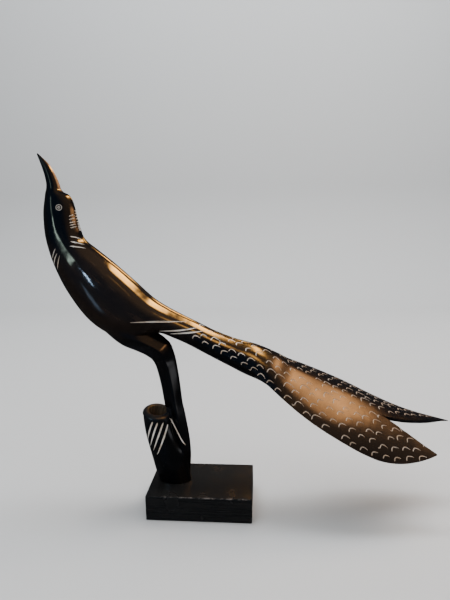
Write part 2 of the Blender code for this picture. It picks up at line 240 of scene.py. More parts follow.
def body_skin(place, turn):
    """A point of the skin: turn 0 is the crest, 1 the near edge, 2 the belly, below 0 is far."""
    values, aside, up = body_frame(place)
    rise, drop, half = values[3:6] * UNIT
    if abs(turn) <= 1:
        side, height = arc(half, rise, -turn)
    else:
        side, height = arc(half, -drop, math.copysign(1, turn) * (abs(turn) - 2))
    return FOOT + values[[0, 2, 1]] * UNIT + aside * side + up * height


def skin_ring(place, shares, pivot=0.0):
    """Points over the top of a cut through the given shares, then back underneath.

    Underneath, the two points at the edges drop out and the others spread from the pivot.
    """
    values, aside, up = body_frame(place)
    centre = FOOT + values[[0, 2, 1]] * UNIT
    rise, drop, half = values[3:6] * UNIT
    hollow = ease((place - HOLLOW_FROM) / (HOLLOW_TO - HOLLOW_FROM))
    tapered = ease((place - HOLLOW_TO) / (FAR_LOBE_TO - HOLLOW_TO))
    wall = TAIL_WALL + (LOBE_WALL - TAIL_WALL) * tapered
    drop += hollow * (wall - rise - drop)
    ring = [arc(half, rise, share) for share in shares]
    turns = [(share + 1) / 4 for share in shares]
    reach = max(abs(share - pivot) for share in shares)
    spread = 1 + hollow / (TOP_FACES / 2 - 1)
    for share in reversed(shares):
        if abs(share - pivot) < reach * (1 - 1e-6):
            across = pivot + (share - pivot) * min(spread, 1 / max(abs(share - pivot), 1e-6))
            ring.append(arc(half - TAIL_LIP * hollow, -drop, across))
            turns.append(1 - (share + 1) / 4)
    return [centre + aside * side + up * height for side, height in ring], turns


def lobe_shares(side, way, faces):
    """Shares across a lobe from its outer edge to the fork, at a way along it."""
    inner = LOBE_TIP * way**LOBE_INNER_CURVE
    outer = LOBE_TIP + (1 - LOBE_TIP) * (1 - way**LOBE_CURVE) + LOBE_BLUNT * way
    return [side * (outer + (inner - outer) * step / faces) for step in range(faces + 1)]


middles = body_curve[:, [0, 2, 1]] * UNIT
walked = np.concatenate(([0.0], np.cumsum(np.linalg.norm(np.diff(middles, axis=0), axis=1))))


def distance_at(place):
    """Metres along the middle line from the beak's tip to a place."""
    return float(np.interp(place * SAMPLES, np.arange(len(walked)), walked))


def place_at(distance):
    """The place so many metres along the middle line."""
    return float(np.interp(distance, walked, np.arange(len(walked)))) / SAMPLES


print(f"middle line {walked[-1] * 1000:.0f} mm long")

# %% [markdown]
# ## Body, leg and stump as three blanks
# The body is skinned through close rings. The thigh leaves it as an oval and turns into a leg
# with flat rasped facets below the knee, whose corners are rounded a little by handling. The
# stump is an oval post with a round bore in its tilted top.
#
# Horn is made of fibres that run along it and draw together at its tip, so its streaks must bend
# with the form. Every ring therefore notes how far along the piece it lies and how far round it
# each of its points is, and a UV map keeps both for the material.

# %% Rings, faces and the map of the fibres
RING_STEP = 6.0  # rings this far apart, in thousandths of the length
LOBE_RINGS = 44
fibre = {}  # each point's distance along and share of a turn round


def linked(name, data):
    """A new object of the scene with a mesh, a light or a camera."""
    thing = bpy.data.objects.new(name, data)
    bpy.context.scene.collection.objects.link(thing)
    return thing


def add_ring(shape, points, distance, turns=None):
    """A ring of points; without turns, they are spread evenly round the piece."""
    ring = [shape.verts.new(point) for point in points]
    for step, corner in enumerate(ring):
        fibre[corner] = (distance, turns[step] if turns else step / len(ring))
    return ring


def join_rings(shape, first, second):
    """A band of four-sided faces between two rings."""
    for step in range(len(first)):
        after = (step + 1) % len(first)
        shape.faces.new((first[step], first[after], second[after], second[step]))


def close_ring(shape, ring, bulge=(0, 0, 0)):
    """A fan of faces over a ring, with its middle moved by the bulge."""
    tip = shape.verts.new(np.mean([corner.co for corner in ring], axis=0) + np.array(bulge))
    fibre[tip] = (fibre[ring[0]][0], None)
    for step in range(len(ring)):
        shape.faces.new((ring[step], ring[(step + 1) % len(ring)], tip))


def as_object(name, shape):
    """A mesh object with faces outward, smooth shading and the fibre map in its UV map."""
    bmesh.ops.recalc_face_normals(shape, faces=shape.faces)
    grain = shape.loops.layers.uv.new("grain")
    for face in shape.faces:
        turns = [fibre[loop.vert][1] for loop in face.loops if fibre[loop.vert][1] is not None]
        wraps = max(turns) - min(turns) > 0.5
        turns = [turn + 1 if wraps and turn < 0.5 else turn for turn in turns]
        for loop in face.loops:
            distance, turn = fibre[loop.vert]
            if turn is None:
                turn = sum(turns) / len(turns)
            elif wraps and turn < 0.5:
                turn += 1
            loop[grain].uv = (distance, turn)
    fibre.clear()
    mesh = bpy.data.meshes.new(name)
    shape.to_mesh(mesh)
    shape.free()
    mesh.shade_smooth()
    return linked(name, mesh)


def skinned(name, rings):
    """A closed tube through rings of points, each with its distance along the piece."""
    shape = bmesh.new()
    rings = [add_ring(shape, points, distance) for points, distance in rings]
    for first, second in zip(rings, rings[1:]):
        join_rings(shape, first, second)
    close_ring(shape, rings[0])
    close_ring(shape, rings[-1])
    return as_object(name, shape)


print(f"a ring every {RING_STEP * UNIT * 1000:.1f} mm along the body, {LOBE_RINGS} on each lobe")

# %% The body with its forked tail
# how far the beak's rounded tip goes beyond the first cut, and its width as a share of that cut
TIP_ROUND = [(0.0019, 0.25), (0.0015, 0.52), (0.0009, 0.80)]
TIP_BULGE = 0.0002
FEWEST_STEPS = 4  # rings between two cuts that lie close together
TIP_THINNING = 0.75  # share of its thickness that a lobe loses at its tip
THINNED_FROM, THINNED_OVER = 0.7, 0.3  # shares of a lobe's length


def thinned(points, top_count, share):
    """A lobe's ring with its underside drawn up towards its top."""
    top = points[:top_count][::-1]
    below = len(points) - top_count
    for step in range(below):
        over = top[min(round((step + 1) * (top_count - 1) / (below + 1)), top_count - 1)]
        under = points[top_count + step]
        points[top_count + step] = under + (over - under) * share
    return points


def body_blank():
    """One skin of rings that parts into two lobes at the fork."""
    shape = bmesh.new()
    shares = [2 * step / TOP_FACES - 1 for step in range(TOP_FACES + 1)]
    places = [0.0]
    for gap in range(FORK_CUT):
        length = math.dist(BODY_CUTS[gap][:2], BODY_CUTS[gap + 1][:2])
        steps = max(FEWEST_STEPS, round(length / RING_STEP))
        places += [gap + step / steps for step in range(1, steps + 1)]
    first_points, turns = skin_ring(0.0, shares)
    middle = np.mean(first_points, axis=0)
    outward = middle - np.mean(skin_ring(0.2, shares)[0], axis=0)
    outward /= np.linalg.norm(outward)
    rings = []
    for beyond, width in TIP_ROUND:
        points = [middle + (point - middle) * width + outward * beyond for point in first_points]
        rings.append(add_ring(shape, points, -beyond, turns))
    for place in places:
        points, turns = skin_ring(place, shares)
        rings.append(add_ring(shape, points, distance_at(place), turns))
    for first, second in zip(rings, rings[1:]):
        join_rings(shape, first, second)
    close_ring(shape, rings[0], outward * TIP_BULGE)
    fork, half, under = rings[-1], TOP_FACES // 2, TOP_FACES + 1
    near_half, far_half = fork[:half + 1] + fork[under + half - 1:], fork[half:under + half]
    for side, last, end in ((-1, near_half, NEAR_LOBE_TO), (1, far_half, FAR_LOBE_TO)):
        for step in range(1, LOBE_RINGS + 1):
            way = step / LOBE_RINGS
            shares = lobe_shares(side, way, half)
            place = FORK_CUT + (end - FORK_CUT) * way
            points, turns = skin_ring(place, sorted(shares), shares[-1])
            thinning = TIP_THINNING * ease((way - THINNED_FROM) / THINNED_OVER)
            points = thinned(points, half + 1, thinning)
            ring = add_ring(shape, points, distance_at(place), turns)
            join_rings(shape, last, ring)
            last = ring
        close_ring(shape, last)
    return as_object("body_blank", shape)


body = body_blank()
print(body.name, len(body.data.polygons), "faces")

# %% The leg with its rasped facets
LEG_STEPS = 10  # rings between two cuts of the leg


def leg_blank():
    """The thigh, still oval, and the leg with its four rounded corners."""
    rings, walked_leg, last = [], 0.0, None
    for step in range((len(LEG_CUTS) - 1) * LEG_STEPS + 1):
        place = step / LEG_STEPS
        cut = look_up(leg_curve, place)
        front, rear = np.array([cut[0], 0, cut[1]]), np.array([cut[2], 0, cut[3]])
        side, out = front + (rear - front) * cut[5], np.array([0, cut[4], 0])
        corners = [front, side - out, rear, side + out]
        middle, long = (front + rear) / 2, (rear - front) / 2
        oval_share = 1 - ease((place - OVAL_TO) / (FACETS_FROM - OVAL_TO))
        ring = []
        for turn in range(4):
            before, corner, after = corners[turn - 1], corners[turn], corners[(turn + 1) % 4]
            enter = corner + (before - corner) * CORNER_TRIMS[turn]
            leave = corner + (after - corner) * CORNER_TRIMS[turn]
            for way in (0, 0.25, 0.5, 0.75, 1):
                ring.append(enter * (1 - way)**2 + corner * 2 * way * (1 - way) + leave * way**2)
            enter = after + (corner - after) * CORNER_TRIMS[(turn + 1) % 4]
            ring += [leave + (enter - leave) * way for way in (0.25, 0.5, 0.75)]
        for at, point in enumerate(ring):
            share, across = np.dot(point - middle, long) / np.dot(long, long), point[1] / cut[4]
            oval = middle + (long * share + out * across) / math.hypot(share, across)
            ring[at] = FOOT + (point + (oval - point) * oval_share) * UNIT
        walked_leg += 0 if last is None else np.linalg.norm(middle - last) * UNIT
        last = middle
        rings.append((ring, walked_leg))
    return skinned("leg_blank", rings)


leg = leg_blank()
print(leg.name, len(leg.data.polygons), "faces")

# %% The stump with its open mouth
STUMP_SIDES = 72
STUMP_STEPS = 9  # rings between two cuts of the stump
MOUTH_STEPS = 8  # rings round each edge of the rim, and down the bore
FLOOR_RINGS = (0.8, 0.5)  # rings on the bore's floor, as shares of its radius


def stump_point(middle, height, half, depth, turn, tilt=1.0):
    """A point of an oval cut that tilts with the rim."""
    lean, facing = RIM_LEAN * tilt, RIM_FACING * tilt
    reach, out = half * math.cos(turn), depth * math.sin(turn)
    return FOOT + np.array([middle + reach * math.cos(lean), out * math.cos(facing),
                            height + reach * math.sin(lean) + out * math.sin(facing)])


def stump_skin(place, turn):
    """A point of the stump's side."""
    height, middle, half, depth = look_up(stump_curve, place) * UNIT
    return stump_point(middle, height, half, depth, turn, ease(place / (len(STUMP_CUTS) - 1)))


def mouth_profile():
    """Radius and depth of the rim and the bore, from the outside over the rim and down inside."""
    bore, outer = MOUTH_BORE / 2, MOUTH_BORE / 2 + MOUTH_WALL
    turns = [math.pi / 2 * step / MOUTH_STEPS for step in range(MOUTH_STEPS + 1)]
    bends = [(1 - math.cos(turn), 1 - math.sin(turn)) for turn in turns]
    profile = [(outer - MOUTH_ROUND_OUTER * flat, MOUTH_ROUND_OUTER * steep)
               for flat, steep in bends]
    profile += [(bore + MOUTH_ROUND_INNER * steep, MOUTH_ROUND_INNER * flat)
                for flat, steep in bends]
    for step in range(1, MOUTH_STEPS + 1):
        narrowed = 1 - (1 - MOUTH_TAPER) * step / MOUTH_STEPS
        profile.append((bore * narrowed, MOUTH_DEPTH * step / MOUTH_STEPS))
    return profile + [(bore * MOUTH_TAPER * share, MOUTH_DEPTH) for share in FLOOR_RINGS]


def stump_blank():
    """One skin from the foot up the side, over the rim and down the bore."""
    turns = [2 * math.pi * step / STUMP_SIDES for step in range(STUMP_SIDES)]
    rings = []
    for step in range((len(STUMP_CUTS) - 1) * STUMP_STEPS + 1):
        place = step / STUMP_STEPS
        height = look_up(stump_curve, place)[0] * UNIT
        rings.append(([stump_skin(place, turn) for turn in turns], height))
    for radius, below in mouth_profile():
        middle = RIM_ALONG * UNIT + below * math.sin(RIM_LEAN)
        height = RIM_HEIGHT * UNIT - below * math.cos(RIM_LEAN)
        rings.append(([stump_point(middle, height, radius, radius, turn) for turn in turns],
                      RIM_HEIGHT * UNIT + below))
    return skinned("stump_blank", rings)


stump = stump_blank()
print(stump.name, len(stump.data.polygons), "faces")

# %% [markdown]
# ## One piece of horn
# The real carving has no joints, so the three blanks are joined into one closed skin by Booleans.
# Blender's manifold solver is quick and keeps closed skins closed. The smooth normals are kept
# before anything is engraved: a cut through a polished face would otherwise bend the shading far
# around it.

# %% Join the blanks
SHARP_EDGE = math.radians(38)  # edges steeper than this stay crisp


def settle(thing):
    """Give an object the plain mesh that its modifiers make, and remove them."""
    bpy.context.view_layer.update()
    ready = thing.evaluated_get(bpy.context.evaluated_depsgraph_get())
    mesh = bpy.data.meshes.new_from_object(ready)
    thing.modifiers.clear()
    thing.data = mesh


def combine(thing, helper, operation):
    """Join a helper to an object or cut it out; the helper is used up."""
    change = thing.modifiers.new("combine", "BOOLEAN")
    change.operation, change.object = operation, helper
    change.solver, change.material_mode = "MANIFOLD", "TRANSFER"
    settle(thing)
    bpy.data.objects.remove(helper)


def open_edges(mesh):
    """Edges that don't join exactly two faces; a closed skin has none."""
    shape = bmesh.new()
    shape.from_mesh(mesh)
    count = sum(not edge.is_manifold for edge in shape.edges)
    shape.free()
    return count


bird = body
combine(bird, leg, "UNION")
combine(bird, stump, "UNION")
bird.data.set_sharp_from_angle(angle=SHARP_EDGE)
print("joined:", len(bird.data.polygons), "faces,", open_edges(bird.data), "open edges")

# %% Keep the polished skin for its normals


class PolishedSkin:
    """Nearest point of the skin before engraving, with its smooth normal."""

    def __init__(self, mesh):
        mesh.calc_loop_triangles()
        self.points = [corner.co.copy() for corner in mesh.vertices]
        self.triangles = [tuple(triangle.vertices) for triangle in mesh.loop_triangles]
        self.loops = [tuple(triangle.loops) for triangle in mesh.loop_triangles]
        self.normals = [normal.vector.copy() for normal in mesh.corner_normals]
        self.tree = BVHTree.FromPolygons(self.points, self.triangles)

    def at(self, point):
        place, _, index, _ = self.tree.find_nearest(point)
        a, b, c = (self.points[corner] for corner in self.triangles[index])
        weights = barycentric(place, a, b, c)
        normal = Vector()
        for weight, loop in zip(weights, self.loops[index]):
            normal += self.normals[loop] * weight
        return place, normal.normalized()


def barycentric(point, a, b, c):
    """Shares of a triangle's corners that give the point."""
    one, two, way = b - a, c - a, point - a
    d11, d12, d22, w1, w2 = one.dot(one), one.dot(two), two.dot(two), way.dot(one), way.dot(two)
    scale = d11 * d22 - d12 * d12
    if scale < 1e-20:
        return 1.0, 0.0, 0.0
    second, third = (d22 * w1 - d12 * w2) / scale, (d11 * w2 - d12 * w1) / scale
    return 1 - second - third, second, third


polished = PolishedSkin(bird.data)
print(len(polished.triangles), "triangles kept for their normals")

# %% [markdown]
# ## Engraved lines
# The carver scored every line with a V-shaped burin, and the scraped horn shows pale in the cut.
# The lines could be painted on, but they catch light only as real grooves. Geometry Nodes turn
# any chain of edges on the skin into a V-shaped cutter that runs out at both of its ends, and
# Booleans take the cutters out of the horn. The horn in the cuts gets the cutters' pale finish.

# %% Small helpers for node trees


def add(tree, kind, plugs=None, **settings):
    """A node with its settings, and a link or a value for each named input; returns its outputs."""
    node = tree.nodes.new(kind)
    for name, value in settings.items():
        setattr(node, name, value)
    for name, value in (plugs or {}).items():
        if isinstance(value, bpy.types.NodeSocket):
            tree.links.new(value, node.inputs[name])
        else:
            node.inputs[name].default_value = value
    return node.outputs


def calc(tree, operation, *values, clamp=False):
    """The result of a Math node."""
    return add(tree, "ShaderNodeMath", dict(enumerate(values)),
               operation=operation, use_clamp=clamp)[0]


def geometry_group(name, inputs):
    """A geometry tree with a mesh going in and out, and named inputs for its sizes."""
    tree = bpy.data.node_groups.new(name, "GeometryNodeTree")
    tree.interface.new_socket("Geometry", in_out="INPUT", socket_type="NodeSocketGeometry")
    tree.interface.new_socket("Geometry", in_out="OUTPUT", socket_type="NodeSocketGeometry")
    for label, kind in inputs.items():
        tree.interface.new_socket(label, in_out="INPUT", socket_type="NodeSocket" + kind)
    return tree, tree.nodes.new("NodeGroupInput").outputs


def grow(thing, tree, values):
    """The plain mesh that a geometry tree makes of an object; its modifier is removed again."""
    growth = thing.modifiers.new("grow", "NODES")
    growth.node_group = tree
    for item in tree.interface.items_tree:
        if item.in_out == "INPUT" and item.name in values:
            growth[item.identifier] = values[item.name]
    settle(thing)
    return thing


horn = bpy.data.materials.new("polished horn")
scored = bpy.data.materials.new("scored horn")
print("finishes started:", horn.name, "and", scored.name)

# %% A tree that makes V-shaped cutters
CUT_INPUTS = {"Width": "Float", "Depth": "Float", "Taper In": "Float", "Taper Out": "Float",
              "End Size": "Float", "Material": "Material"}
LIFT = 0.6  # a cutter stands this share of its depth above the skin
SWELL_POWER = 0.6  # under 1, a cut is soon at its full width
# the wedge is a triangle in a circle of radius 1
WEDGE_HEIGHT, WEDGE_HALF_WIDTH = 1.5, math.sin(math.radians(120))

v_cut, given = geometry_group("v cut", CUT_INPUTS)
tree = v_cut
line = add(tree, "GeometryNodeMeshToCurve", {"Mesh": given["Geometry"]})[0]
out = add(tree, "GeometryNodeInputNamedAttribute", {"Name": "out"}, data_type="FLOAT_VECTOR")[0]
line = add(tree, "GeometryNodeSetCurveNormal", {"Curve": line, "Normal": out}, mode="FREE")[0]
along = add(tree, "GeometryNodeSplineParameter")["Factor"]
coming = calc(tree, "DIVIDE", along, given["Taper In"], clamp=True)
leaving = calc(tree, "DIVIDE", calc(tree, "SUBTRACT", 1.0, along), given["Taper Out"], clamp=True)
swell = calc(tree, "POWER", calc(tree, "MINIMUM", coming, leaving), SWELL_POWER)
whole = add(tree, "GeometryNodeInputNamedAttribute", {"Name": "whole"}, data_type="FLOAT")[0]
size = calc(tree, "MAXIMUM", calc(tree, "MAXIMUM", swell, given["End Size"]), whole)

top = calc(tree, "MULTIPLY", given["Depth"], 1 + LIFT)
deep = calc(tree, "DIVIDE", top, WEDGE_HEIGHT)
wide = calc(tree, "MULTIPLY", given["Width"], (1 + LIFT) / 2 / WEDGE_HALF_WIDTH)
shift = calc(tree, "SUBTRACT", deep, given["Depth"])
scale = add(tree, "ShaderNodeCombineXYZ", {"X": deep, "Y": wide, "Z": 1.0})[0]
place = add(tree, "ShaderNodeCombineXYZ", {"X": shift})[0]
wedge = add(tree, "GeometryNodeCurvePrimitiveCircle", {"Resolution": 3, "Radius": 1.0})[0]
wedge = add(tree, "GeometryNodeTransform", {
    "Geometry": wedge, "Translation": place, "Rotation": (0, 0, math.pi), "Scale": scale})[0]
cutter = add(tree, "GeometryNodeCurveToMesh", {
    "Curve": line, "Profile Curve": wedge, "Scale": size, "Fill Caps": True})[0]
cutter = add(tree, "GeometryNodeRealizeInstances", {"Geometry": cutter})[0]
cutter = add(tree, "GeometryNodeSetMaterial", {
    "Geometry": cutter, "Material": given["Material"]})[0]
add(tree, "NodeGroupOutput", {"Geometry": cutter})
print("v cut:", len(tree.nodes), "nodes")

# %% [markdown]
# ## Strokes, notches and eyes
# Longer strokes stand at the nape, on the neck, at the breast and rump and round the stump. They
# are laid one by one, each from one address on the skin to another. Short notches scallop the nape,
# and each eye is a fine ring round a dot.

# %% Where the strokes go
# place and turn where a stroke starts, then where it ends
NAPE = [(7.8, .46, 7.7, .20), (8.07, .49, 7.98, .19), (8.32, .51, 8.27, .21), (8.52, .52, 8.5, .22),
        (8.75, .52, 8.75, .20)]
NECK = [(9.45, .62, 10.0, .22), (9.8, .69, 10.45, .30), (10.05, .79, 10.7, .40)]
BREAST = [(9.65, 1.28, 9.95, 1.60), (9.93, 1.28, 10.22, 1.72), (10.12, 1.24, 10.5, 1.58)]
RUMP = [(13.9, 1.18, 16.4, .40), (15.2, 1.42, 17.1, .40), (15.8, 1.36, 17.5, .36)]
# the same on the stump, with the turn in degrees
STUMP_STROKES = [(5.97, -98, 3.6, -153), (5.93, -79, 3.3, -141), (5.9, -57, 3.0, -132),
                 (5.5, -38, 2.75, -120)]
TOE_LINE = [(-6, 178), (34, 102)]  # along and up from the foot, seen from the near side
TOE_ASIDE, TOE_FACING = -15, Vector((0, -1, 0.15)).normalized()
EYE = (6.97, 0.76)
EYE_RING, EYE_DOT = 0.0020, 0.0007
NAPE_NOTCHES, FIRST_NOTCH, LAST_NOTCH, NOTCH_TURN = 9, 7.40, 9.2, 0.13
both_sides = sum(len(table) for table in (NAPE, NECK, BREAST, RUMP))
print(both_sides, "strokes on each side of the bird,", len(STUMP_STROKES), "on the stump")

# %% Lay the strokes on the skin
STROKE_STEP, NOTCH_STEP = 0.0012, 0.0007  # metres between the points of a line
FEWEST_POINTS = 4
BURIN_REACH = 0.012  # a stroke is aimed from this far outside the horn


def stroke(start, end, step=STROKE_STEP, facing=None):
    """A stroke that looks straight from the side it faces: skin points, each with its way out."""
    if facing is None:
        facing = (polished.at(Vector(start))[1] + polished.at(Vector(end))[1]).normalized()
    steps = max(FEWEST_POINTS, round(math.dist(start, end) / step))
    line = []
    for stop in range(steps + 1):
        point = Vector(start + (end - start) * stop / steps)
        met = polished.tree.ray_cast(point + facing * BURIN_REACH, -facing)[0]
        line.append(polished.at(point if met is None else met))
    return line


def ring_on_skin(middle, radius, count):
    """A circle laid on the skin."""
    middle, out = polished.at(Vector(middle))
    ahead = out.orthogonal().normalized()
    across = out.cross(ahead)
    angles = [2 * math.pi * step / count for step in range(count)]
    return [polished.at(middle + radius * (ahead * math.cos(angle) + across * math.sin(angle)))
            for angle in angles]


def mirrored_strokes(strokes):
    """The strokes of a table on both sides of the bird."""
    return [stroke(body_skin(place, side * turn), body_skin(end, side * end_turn))
            for side in (1, -1) for place, turn, end, end_turn in strokes]


on_stump = [stroke(stump_skin(place, math.radians(turn)), stump_skin(end, math.radians(end_turn)))
            for place, turn, end, end_turn in STUMP_STROKES]
toe_start, toe_end = (FOOT + np.array([along, TOE_ASIDE, up]) * UNIT for along, up in TOE_LINE)
toe_line = [stroke(toe_start, toe_end, facing=TOE_FACING)]
across_nape = []
for step in range(NAPE_NOTCHES):
    place = FIRST_NOTCH + (LAST_NOTCH - FIRST_NOTCH) * step / (NAPE_NOTCHES - 1)
    ends = body_skin(place, NOTCH_TURN), body_skin(place, -NOTCH_TURN)
    across_nape.append(stroke(*ends, NOTCH_STEP))
eyes = [body_skin(EYE[0], side * EYE[1]) for side in (1, -1)]
print("laid:", len(on_stump), "on the stump,", len(across_nape), "across the nape")

# %% Cutters of the strokes
END_SIZE = 0.15  # share of its size that a cutter keeps at its ends


def note(mesh, name, values):
    """Keep a number or a vector for each point of a mesh."""
    values = np.array(values, float)
    kind, field = ("FLOAT_VECTOR", "vector") if values.ndim == 2 else ("FLOAT", "value")
    mesh.attributes.new(name, kind, "POINT").data.foreach_set(field, values.ravel())


def chains(name, lines, closed=False):
    """A mesh of edge chains whose points know which way is out of the horn."""
    points, ways, edges = [], [], []
    for line in lines:
        first = len(points)
        points += [point for point, _ in line]
        ways += [way for _, way in line]
        edges += [(step, step + 1) for step in range(first, len(points) - 1)]
        if closed:
            edges.append((len(points) - 1, first))
    mesh = bpy.data.meshes.new(name)
    mesh.from_pydata([tuple(point) for point in points], edges, [])
    note(mesh, "out", ways)
    note(mesh, "whole", [closed] * len(points))
    return linked(name, mesh)


# lines, closed or not, width, depth and the shares over which a cut comes in and runs out
hand_cuts = {
    "nape": (mirrored_strokes(NAPE), False, 0.0006, 0.0003, 0.2, 0.4),
    "neck": (mirrored_strokes(NECK), False, 0.0008, 0.0004, 0.15, 0.6),
    "breast": (mirrored_strokes(BREAST), False, 0.0007, 0.0003, 0.4, 0.4),
    "rump": (mirrored_strokes(RUMP), False, 0.0010, 0.0005, 0.35, 0.3),
    "stump": (on_stump, False, 0.0013, 0.0005, 0.06, 0.5),
    "toe line": (toe_line, False, 0.0012, 0.0005, 0.15, 0.35),
    "notches": (across_nape, False, 0.0008, 0.0006, 0.30, 0.30),
    "eye rings": ([ring_on_skin(eye, EYE_RING, 28) for eye in eyes],
                  True, 0.00038, 0.00027, 0.3, 0.3),
    "eye dots": ([ring_on_skin(eye, EYE_DOT, 12) for eye in eyes],
                 True, 0.00038, 0.00027, 0.3, 0.3),
}
cutters = []
for name, (lines, closed, width, depth, come, leave) in hand_cuts.items():
    cutters.append(grow(chains(name, lines, closed), v_cut, {
        "Width": width, "Depth": depth, "Taper In": come, "Taper Out": leave,
        "End Size": END_SIZE, "Material": scored}))
print({thing.name: len(thing.data.polygons) for thing in cutters})

# %% [markdown]
# ## Feather marks
# The tail is covered with rows of small hooks: each sets out across the tail, bends over and runs
# on towards the tip. They were cut one after another by eye, so no two are quite alike. Points on
# the skin stand in staggered rows, one of three hooks is laid on each of them with a little
# turn, size and shift of its own, most often the short one, and the tree presses them onto the
# skin before cutting.

# %% Where the marks go
MARKED_FROM = 17.15  # place where the marks start
MARK_PITCH = 0.0078  # from one hook to the next along a row
ROW_SHIFT, FAR_SHIFT = 0.5, 0.2  # pitches that every other row and the far side start late
SPREAD_FROM, SPREAD_OVER = 19.5, 3.0  # the rows move apart from this place over so many cuts
# distance of the rows from the near edge, on the round stem and on the spread tail
NEAR_ROWS = [(-0.0004, 0.0016), (0.0044, 0.0088), (0.0108, 0.0162), (0.0172, 0.0236),
             (0.0236, 0.0310), (0.0300, 0.0384)]
FAR_ROWS = [0.0060, 0.0128, 0.0200, 0.0272]  # distance of the rows beyond the crest
HOOK_REACH = 0.0050  # a whole hook reaches about this far across from its foot
TIP_MARGIN, FORK_MARGIN, FAR_FORK_MARGIN = 0.006, 0.002, 0.001  # metres kept free of marks
LEAST_ROOM, STEM_ROOM = 0.003, 0.003  # room a hook needs at all, and what the stem's belly adds
FORK_DELAY = 0.4  # cuts past the fork where the far rows move onto their lobe
MOST_TURN, TURN_STEPS = 1.3, 53  # turns over which the skin is measured
AHEAD_REACH = 0.05  # cuts before and behind that give a mark's way ahead


def across_table(place, side=1):
    """Distance from the crest over the skin for a range of turns at one place."""
    turns = np.linspace(0, MOST_TURN, TURN_STEPS)
    points = np.array([body_skin(place, side * turn) for turn in turns])
    steps = np.linalg.norm(np.diff(points, axis=0), axis=1)
    return turns, np.concatenate(([0.0], np.cumsum(steps)))


def lobe_turns(place, end):
    """The lowest and highest turn of the horn at a place on a lobe, or on the whole tail."""
    if place <= FORK_CUT:
        return 0.0, 1.0
    shares = lobe_shares(1, min((place - FORK_CUT) / (end - FORK_CUT), 1.0), 1)
    return shares[1], shares[0]


def mark_sites():
    """Foot of every hook: its point, the way ahead, the way out and the room across."""
    sites = []
    for side, rows, lobe_end in ((1, NEAR_ROWS, NEAR_LOBE_TO), (-1, FAR_ROWS, FAR_LOBE_TO)):
        for row, away in enumerate(rows):
            late = ROW_SHIFT * (row % 2) + (FAR_SHIFT if side < 0 else 0)
            distance = distance_at(MARKED_FROM) + MARK_PITCH * late
            while distance < distance_at(lobe_end) - TIP_MARGIN:
                place = place_at(distance)
                distance += MARK_PITCH
                turns, walks = across_table(place, side)
                low, high = np.interp(lobe_turns(place, lobe_end), turns, walks)
                spread = ease((place - SPREAD_FROM) / SPREAD_OVER)
                forked = place > FORK_CUT
                if side > 0:
                    foot = high - away[0] * (1 - spread) - away[1] * spread
                    room = foot - low if forked else math.inf
                    if foot < (low + FORK_MARGIN if forked else -FORK_MARGIN):
                        continue
                else:
                    foot = away + (low if place > FORK_CUT + FORK_DELAY else 0.0)
                    room = high - foot + STEM_ROOM * (1 - spread)
                    if room < LEAST_ROOM or foot < low + FAR_FORK_MARGIN:
                        continue
                turn = float(np.interp(abs(foot), walks, turns)) * (side if foot >= 0 else -side)
                point, out = polished.at(Vector(body_skin(place, turn)))
                ahead = body_skin(place + AHEAD_REACH, turn) - body_skin(place - AHEAD_REACH, turn)
                sites.append((point, Vector(ahead).normalized(), out, min(room, 1.0)))
    return sites


points, aheads, outs, rooms = zip(*mark_sites())
mesh = bpy.data.meshes.new("mark_sites")
mesh.from_pydata([tuple(point) for point in points], [], [])
for name, values in (("ahead", aheads), ("out", outs), ("room", rooms)):
    note(mesh, name, values)
marks = linked("mark_sites", mesh)
print(len(points), "places for marks")

# %% Three hooks
# millimetres towards the tip, and across towards the far side, from the hook's foot
HOOKS = {
    "hook_plain": [(0, 0), (-.2, .9), (-.35, 1.9), (-.3, 2.8), (0, 3.5), (.6, 4.0), (1.4, 4.25),
                   (2.4, 4.4), (3.6, 4.45), (4.8, 4.35), (5.9, 4.1)],
    "hook_curled": [(-1.3, .15), (-.75, 0), (-.25, .25), (0, .9), (-.05, 1.7), (-.1, 2.5),
                    (.15, 3.2), (.75, 3.7), (1.6, 3.95), (2.7, 4.0), (3.8, 3.85), (4.8, 3.5)],
    "hook_short": [(0, 0), (-.1, .7), (-.1, 1.5), (.15, 2.2), (.7, 2.65), (1.5, 2.85),
                   (2.5, 2.9), (3.5, 2.75), (4.2, 2.5)],
}
hooks = []
for name, path in HOOKS.items():
    mesh = bpy.data.meshes.new(name)
    mesh.from_pydata([(x / 1000, y / 1000, 0) for x, y in path],
                     [(step, step + 1) for step in range(len(path) - 1)], [])
    hooks.append(linked(name, mesh))
print([thing.name for thing in hooks])

# %% A tree that lays the hooks: what is laid where
feather_marks, given = geometry_group("feather marks", {
    "Skin": "Object", "Plain Hook": "Object", "Curled Hook": "Object", "Short Hook": "Object",
    "Shift": "Float", "Turn": "Float", "Smallest": "Float", "Largest": "Float", "Seed": "Int",
    "Hook Reach": "Float", **CUT_INPUTS})
tree = feather_marks
# Join Geometry counts its last link first: the plain hook is 0, the curled one 1, the short one 2.
HOOK_ORDER = ("Short Hook", "Curled Hook", "Plain Hook")
HIGHEST_DRAW, SHORT = 8, 2.0  # draws run from 0, and all from 2 up give the short hook


def named(name, kind="FLOAT_VECTOR"):
    """An attribute of the points."""
    return add(tree, "GeometryNodeInputNamedAttribute", {"Name": name}, data_type=kind)[0]


def chance(low, high, seed_shift):
    """A number between two others, different for each point but the same in every run."""
    seed = calc(tree, "ADD", given["Seed"], float(seed_shift))
    return add(tree, "FunctionNodeRandomValue", {2: low, 3: high, 8: seed}, data_type="FLOAT")[1]


def either_way(most, seed_shift):
    """A number of either sign, up to the given size."""
    return chance(calc(tree, "MULTIPLY", most, -1.0), most, seed_shift)


